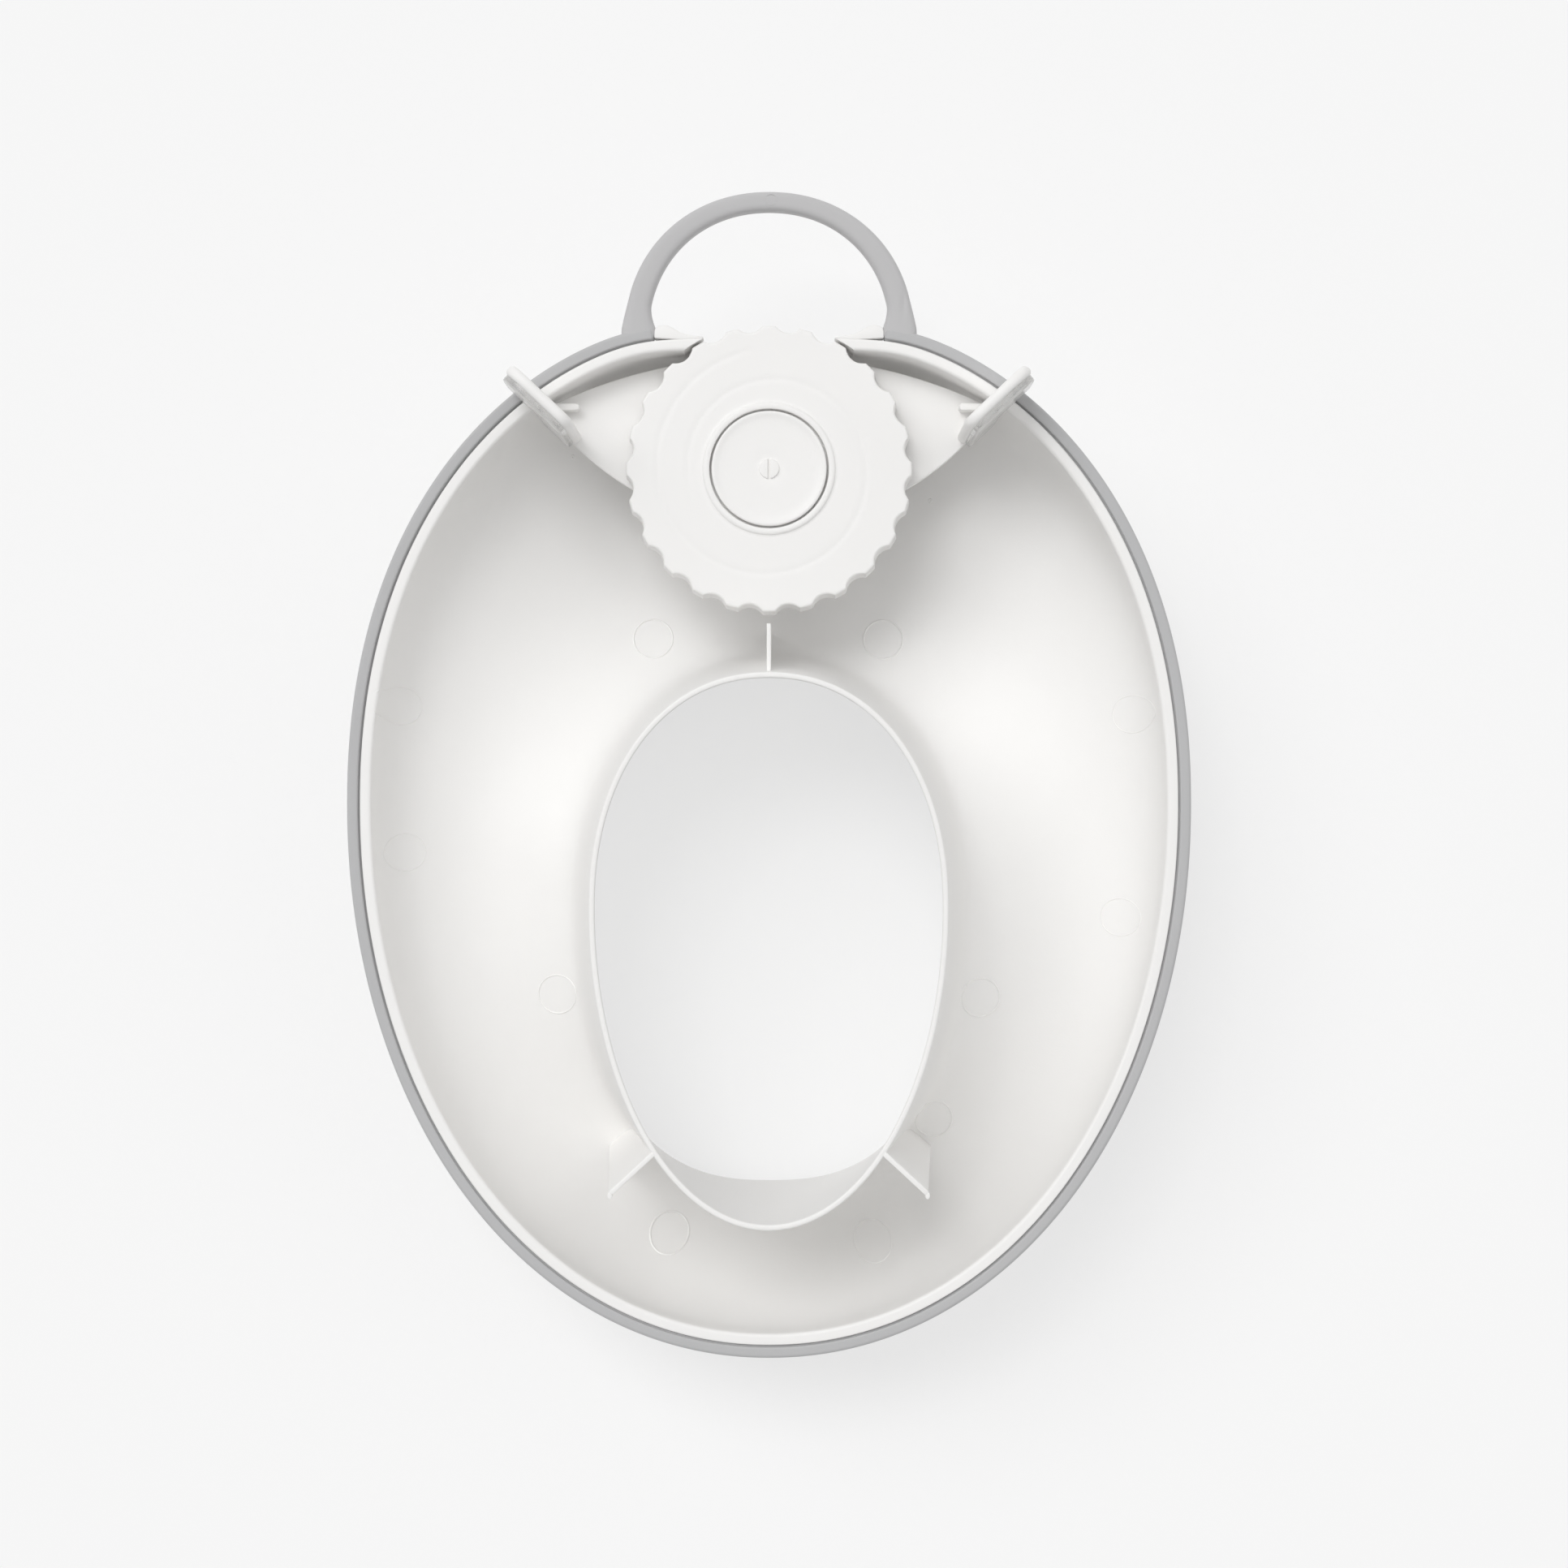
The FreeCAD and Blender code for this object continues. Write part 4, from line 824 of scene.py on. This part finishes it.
def capPiece(look):
    r, top, low = look["radius"], look["top"], look["low"]
    floorZ = top - look["dish"]
    profile = [(far, floorZ + rise) for far, rise in look["dimple"]]
    profile += [(r * k, floorZ + 0.15 * ((k - 0.35) / 0.6) ** 2) for k in (0.45, 0.55, 0.65, 0.75, 0.85)]
    profile += [(r * 0.9, floorZ + 0.3)] + [(r - inset, top - down) for inset, down in look["edge"]]
    bore, under = look["plug"] - look["plugWall"], low + look["thick"]
    profile += [(r, low), (look["plug"], low), (look["plug"], look["plugLow"]), (bore, look["plugLow"]),
                (bore, under), (look["dimple"][0][0], under)]
    return lathe("hub_cap_disc", profile, hubY, whiteFinish, look["columns"], look["sharp"])


settle(capPiece(capLook), "shell", "hub_cap")
look = capLook
edge = math.degrees(math.acos(look["slot"] / 2 / look["bossRadius"]))
halfMoon = arcPoints((0, 0), look["bossRadius"], -edge, edge, 28)
for side, name in ((-1, "cap_boss_left"), (1, "cap_boss_right")):
    outline = [(side * x, hubY + y) for x, y in halfMoon]
    boss = prism(name, outline, look["top"] - look["dish"] - look["bossRoot"], look["bossTop"], whiteFinish)
    bevelled(boss, look["bossRound"], 4)
    settle(boss, "shell", "hub_cap")
print("dial and cap ready")

# Slide, fins and pads

slideLook = {
    "low": 57.0, "high": 60.0, "rounding": 0.6,
    "topArc": (-31.6, 187.9), "lowArc": (195.5, 102.8),    # y of the centre, radius
    "crown": 154.4, "tip": 79.5, "tongue": 22.0, "tongueLow": 65.7, "tongueRound": 9.0,
    "slot": 14.3, "forward": 0.9, "back": 5.3,             # half width and the slide's travel
    "finStart": (72.5, 125.9), "finSpan": 27.1, "finTurn": 43.3, "finWall": 4.2, "finTop": 113.0,
    "finRoot": 14.0, "finUnder": 79.6, "finRound": 1.95,
    "finCorners": (0.3, 0.3, 2.5, 4.6, 11.0, 7.0),         # from the foot's start round to the top
    "padThick": 2.5, "padInset": 1.2, "padEdge": 0.9, "padSunk": 0.02,
    "gusset": (70.6, 80.6, 136.5, 2.7, 67.0),              # first x, last x, y, wall, top
}


def slideOutline(look):
    # Right half from the crown round the tip to the tongue, then its mirror image
    cy, cr = look["topArc"]
    start = math.degrees(math.asin((look["crown"] - cy) / cr))
    right = [(x, y) for x, y in arcPoints((0, cy), cr, start, 0, 400) if x < look["tip"]][::4]
    ly, lr = look["lowArc"]
    tipTop = cy + math.sqrt(cr ** 2 - look["tip"] ** 2)
    tipLow = ly - math.sqrt(lr ** 2 - look["tip"] ** 2)
    right += [(look["tip"], tipTop), (look["tip"], tipLow)]
    for i in range(1, 40):
        x = look["tip"] + (look["tongue"] - look["tip"]) * i / 40
        right.append((x, ly - math.sqrt(lr ** 2 - x ** 2)))
    bend, edge = look["tongueRound"], look["tongue"]
    right += [(x, y) for x, y in arcPoints((edge - bend, look["tongueLow"] + bend), bend, 0, -90, 10)]
    return right + [(-x, y) for x, y in reversed(right)]


def finOutline(look, inset, shrink):
    # Elevation as (along, height): inset is a pad's margin, shrink comes from the rounding of its edge
    end = look["finSpan"] + look["finWall"] / 2 - inset - shrink
    start = -look["finWall"] / 2 + inset + shrink
    root = look["finRoot"] - inset - shrink
    low, top = look["low"] + 2 * inset, look["finTop"] - inset - shrink
    under = look["finUnder"] + inset + shrink
    places = [(start, low), (root, low), (root, under), (end, under), (end, top), (start, top)]
    corners = [(place, radius + grow * shrink)
               for place, radius, grow in zip(places, look["finCorners"], (0, 0, 1, -1, -1, -1))]
    outline = []
    for i, (corner, radius) in enumerate(corners):
        before, after = np.array(corners[i - 1][0]), np.array(corners[(i + 1) % len(corners)][0])
        here = np.array(corner)
        a = here + (before - here) / np.linalg.norm(before - here) * radius
        b = here + (after - here) / np.linalg.norm(after - here) * radius
        for k in range(11):
            t = k / 10
            outline.append(a * (1 - t) ** 2 + here * 2 * t * (1 - t) + b * t ** 2)
    return outline


def finPiece(name, look, side, inset, near, far, finish, nearRound, farRound):
    # near and far are distances from the fin's middle plane towards its outer face
    turn = math.radians(look["finTurn"])
    along = np.array((math.cos(turn), math.sin(turn), 0))
    outwards = np.array((math.sin(turn), -math.cos(turn), 0))
    start = np.array(look["finStart"] + (0,))
    angles = [math.pi / 2 * k / 8 for k in range(9)]
    quarter = [(1 - math.cos(angle), 1 - math.sin(angle)) for angle in angles]
    layers = [(near + nearRound * across, nearRound * shrink) for across, shrink in quarter]
    layers += [(far - farRound * across, farRound * shrink) for across, shrink in reversed(quarter)]
    points = []
    for depth, shrink in layers:
        for length, height in finOutline(look, inset, shrink):
            spot = start + along * length + outwards * depth
            points.append((side * spot[0], spot[1], height))
    return addPiece(name, points, tubeFaces(len(layers), len(points) // len(layers)), finish, 40)


look = slideLook
half = look["slot"]
slot = [(-half, hubY - half - look["forward"]), (half, hubY - half - look["forward"]),
        (half, hubY + half + look["back"]), (-half, hubY + half + look["back"])]
plate = prism("slide_plate", slideOutline(look), look["low"], look["high"], whiteFinish, slot)
bevelled(plate, look["rounding"], 3, 30)
settle(plate, "slide", "adjuster_slide")
for side, word in ((-1, "left"), (1, "right")):
    fin = finPiece("fin_" + word, look, side, 0.0, -look["finWall"] / 2, look["finWall"] / 2,
                   whiteFinish, look["finRound"], look["finRound"])
    settle(fin, "slide", "adjuster_slide")
    pad = finPiece("soft_pad_" + word, look, side, look["padInset"], look["finWall"] / 2 - look["padSunk"],
                   look["finWall"] / 2 + look["padThick"], clearFinish, look["padSunk"], look["padEdge"])
    settle(pad, "slide", "fin_pad_" + word)
    x0, x1, y, wall, top = look["gusset"]
    outline = [(side * x1, y - wall / 2), (side * x1, y + wall / 2)]
    outline += [(side * px, py) for px, py in arcPoints((x0 + wall / 2, y), wall / 2, 90, 270, 12)]
    gusset = prism("fin_gusset_" + word, outline, look["low"], top, whiteFinish)
    bevelled(gusset, 0.5, 3, 50)
    settle(gusset, "slide", "adjuster_slide")
print("slide, fins and pads ready")

# Round marks that the ejector pins have left

markLook = {
    "ridge": 0.3, "lift": 0.03,
    # pixel across, pixel down, radius in pixels, strength
    "spots": [(825, 1518, 23.5, 1.5), (1075, 1528, 23, 0.9), (1088, 788, 24, 1.2), (805, 787, 24, 1),
              (687, 1225, 24, 1), (1208, 1229, 24, 1.2), (1150, 1378, 23, 1), (495, 870, 23, 0.7),
              (1395, 880, 23, 0.7), (500, 1050, 23, 0.7), (1380, 1130, 23, 0.7), (706, 563, 1.8, 1),
              (1146, 617, 1.8, 1)],
    "frame": 1932,                          # pixels along the picture's side
    "loopSpot": (0.7, 211.4, 2.0, 0.16),    # x, y, radius, ridge
}


def ringPiece(name, centre, size, ridge, heightAt, finish, steps=96, around=8):
    points = []
    for i in range(steps):
        turn = 2 * math.pi * i / steps
        z = heightAt(centre[0] + size * math.cos(turn), centre[1] + size * math.sin(turn))
        for k in range(around):
            roll = 2 * math.pi * k / around
            far = size + ridge * math.cos(roll)
            points.append((centre[0] + far * math.cos(turn), centre[1] + far * math.sin(turn),
                           z + ridge * math.sin(roll)))
    return addPiece(name, points, gridFaces(steps, around, closedRows=True), finish, 180)


def markPiece(name, px, py, radius, strength):
    # Where the camera's line through a pixel meets the shell
    sight, middle = Vector(cameraLook["place"]), markLook["frame"] / 2
    scale = cameraLook["sensor"] / cameraLook["lens"] / markLook["frame"]
    centre = dropTo(sight, ((px - middle) * scale, (middle - py) * scale, -1))
    size = radius * scale * (sight.z - centre[2])
    piece = ringPiece(name, centre, size, markLook["ridge"] * strength,
                      lambda x, y: dropTo((x, y, centre[2] + 30))[2] + markLook["lift"], whiteFinish)
    return settle(piece, "shell", "seat_shell")


for number, spot in enumerate(markLook["spots"], 1):
    markPiece("pin_mark_" + str(number), *spot)
x, y, size, ridge = markLook["loopSpot"]
ring = ringPiece("loop_mark", (x, y), size, ridge,
                 lambda x, y: edgeLook["loopTop"] - 0.7 * ridge, loopFinish)
settle(ring, "shell", "rim_grip")
print("marks ready")
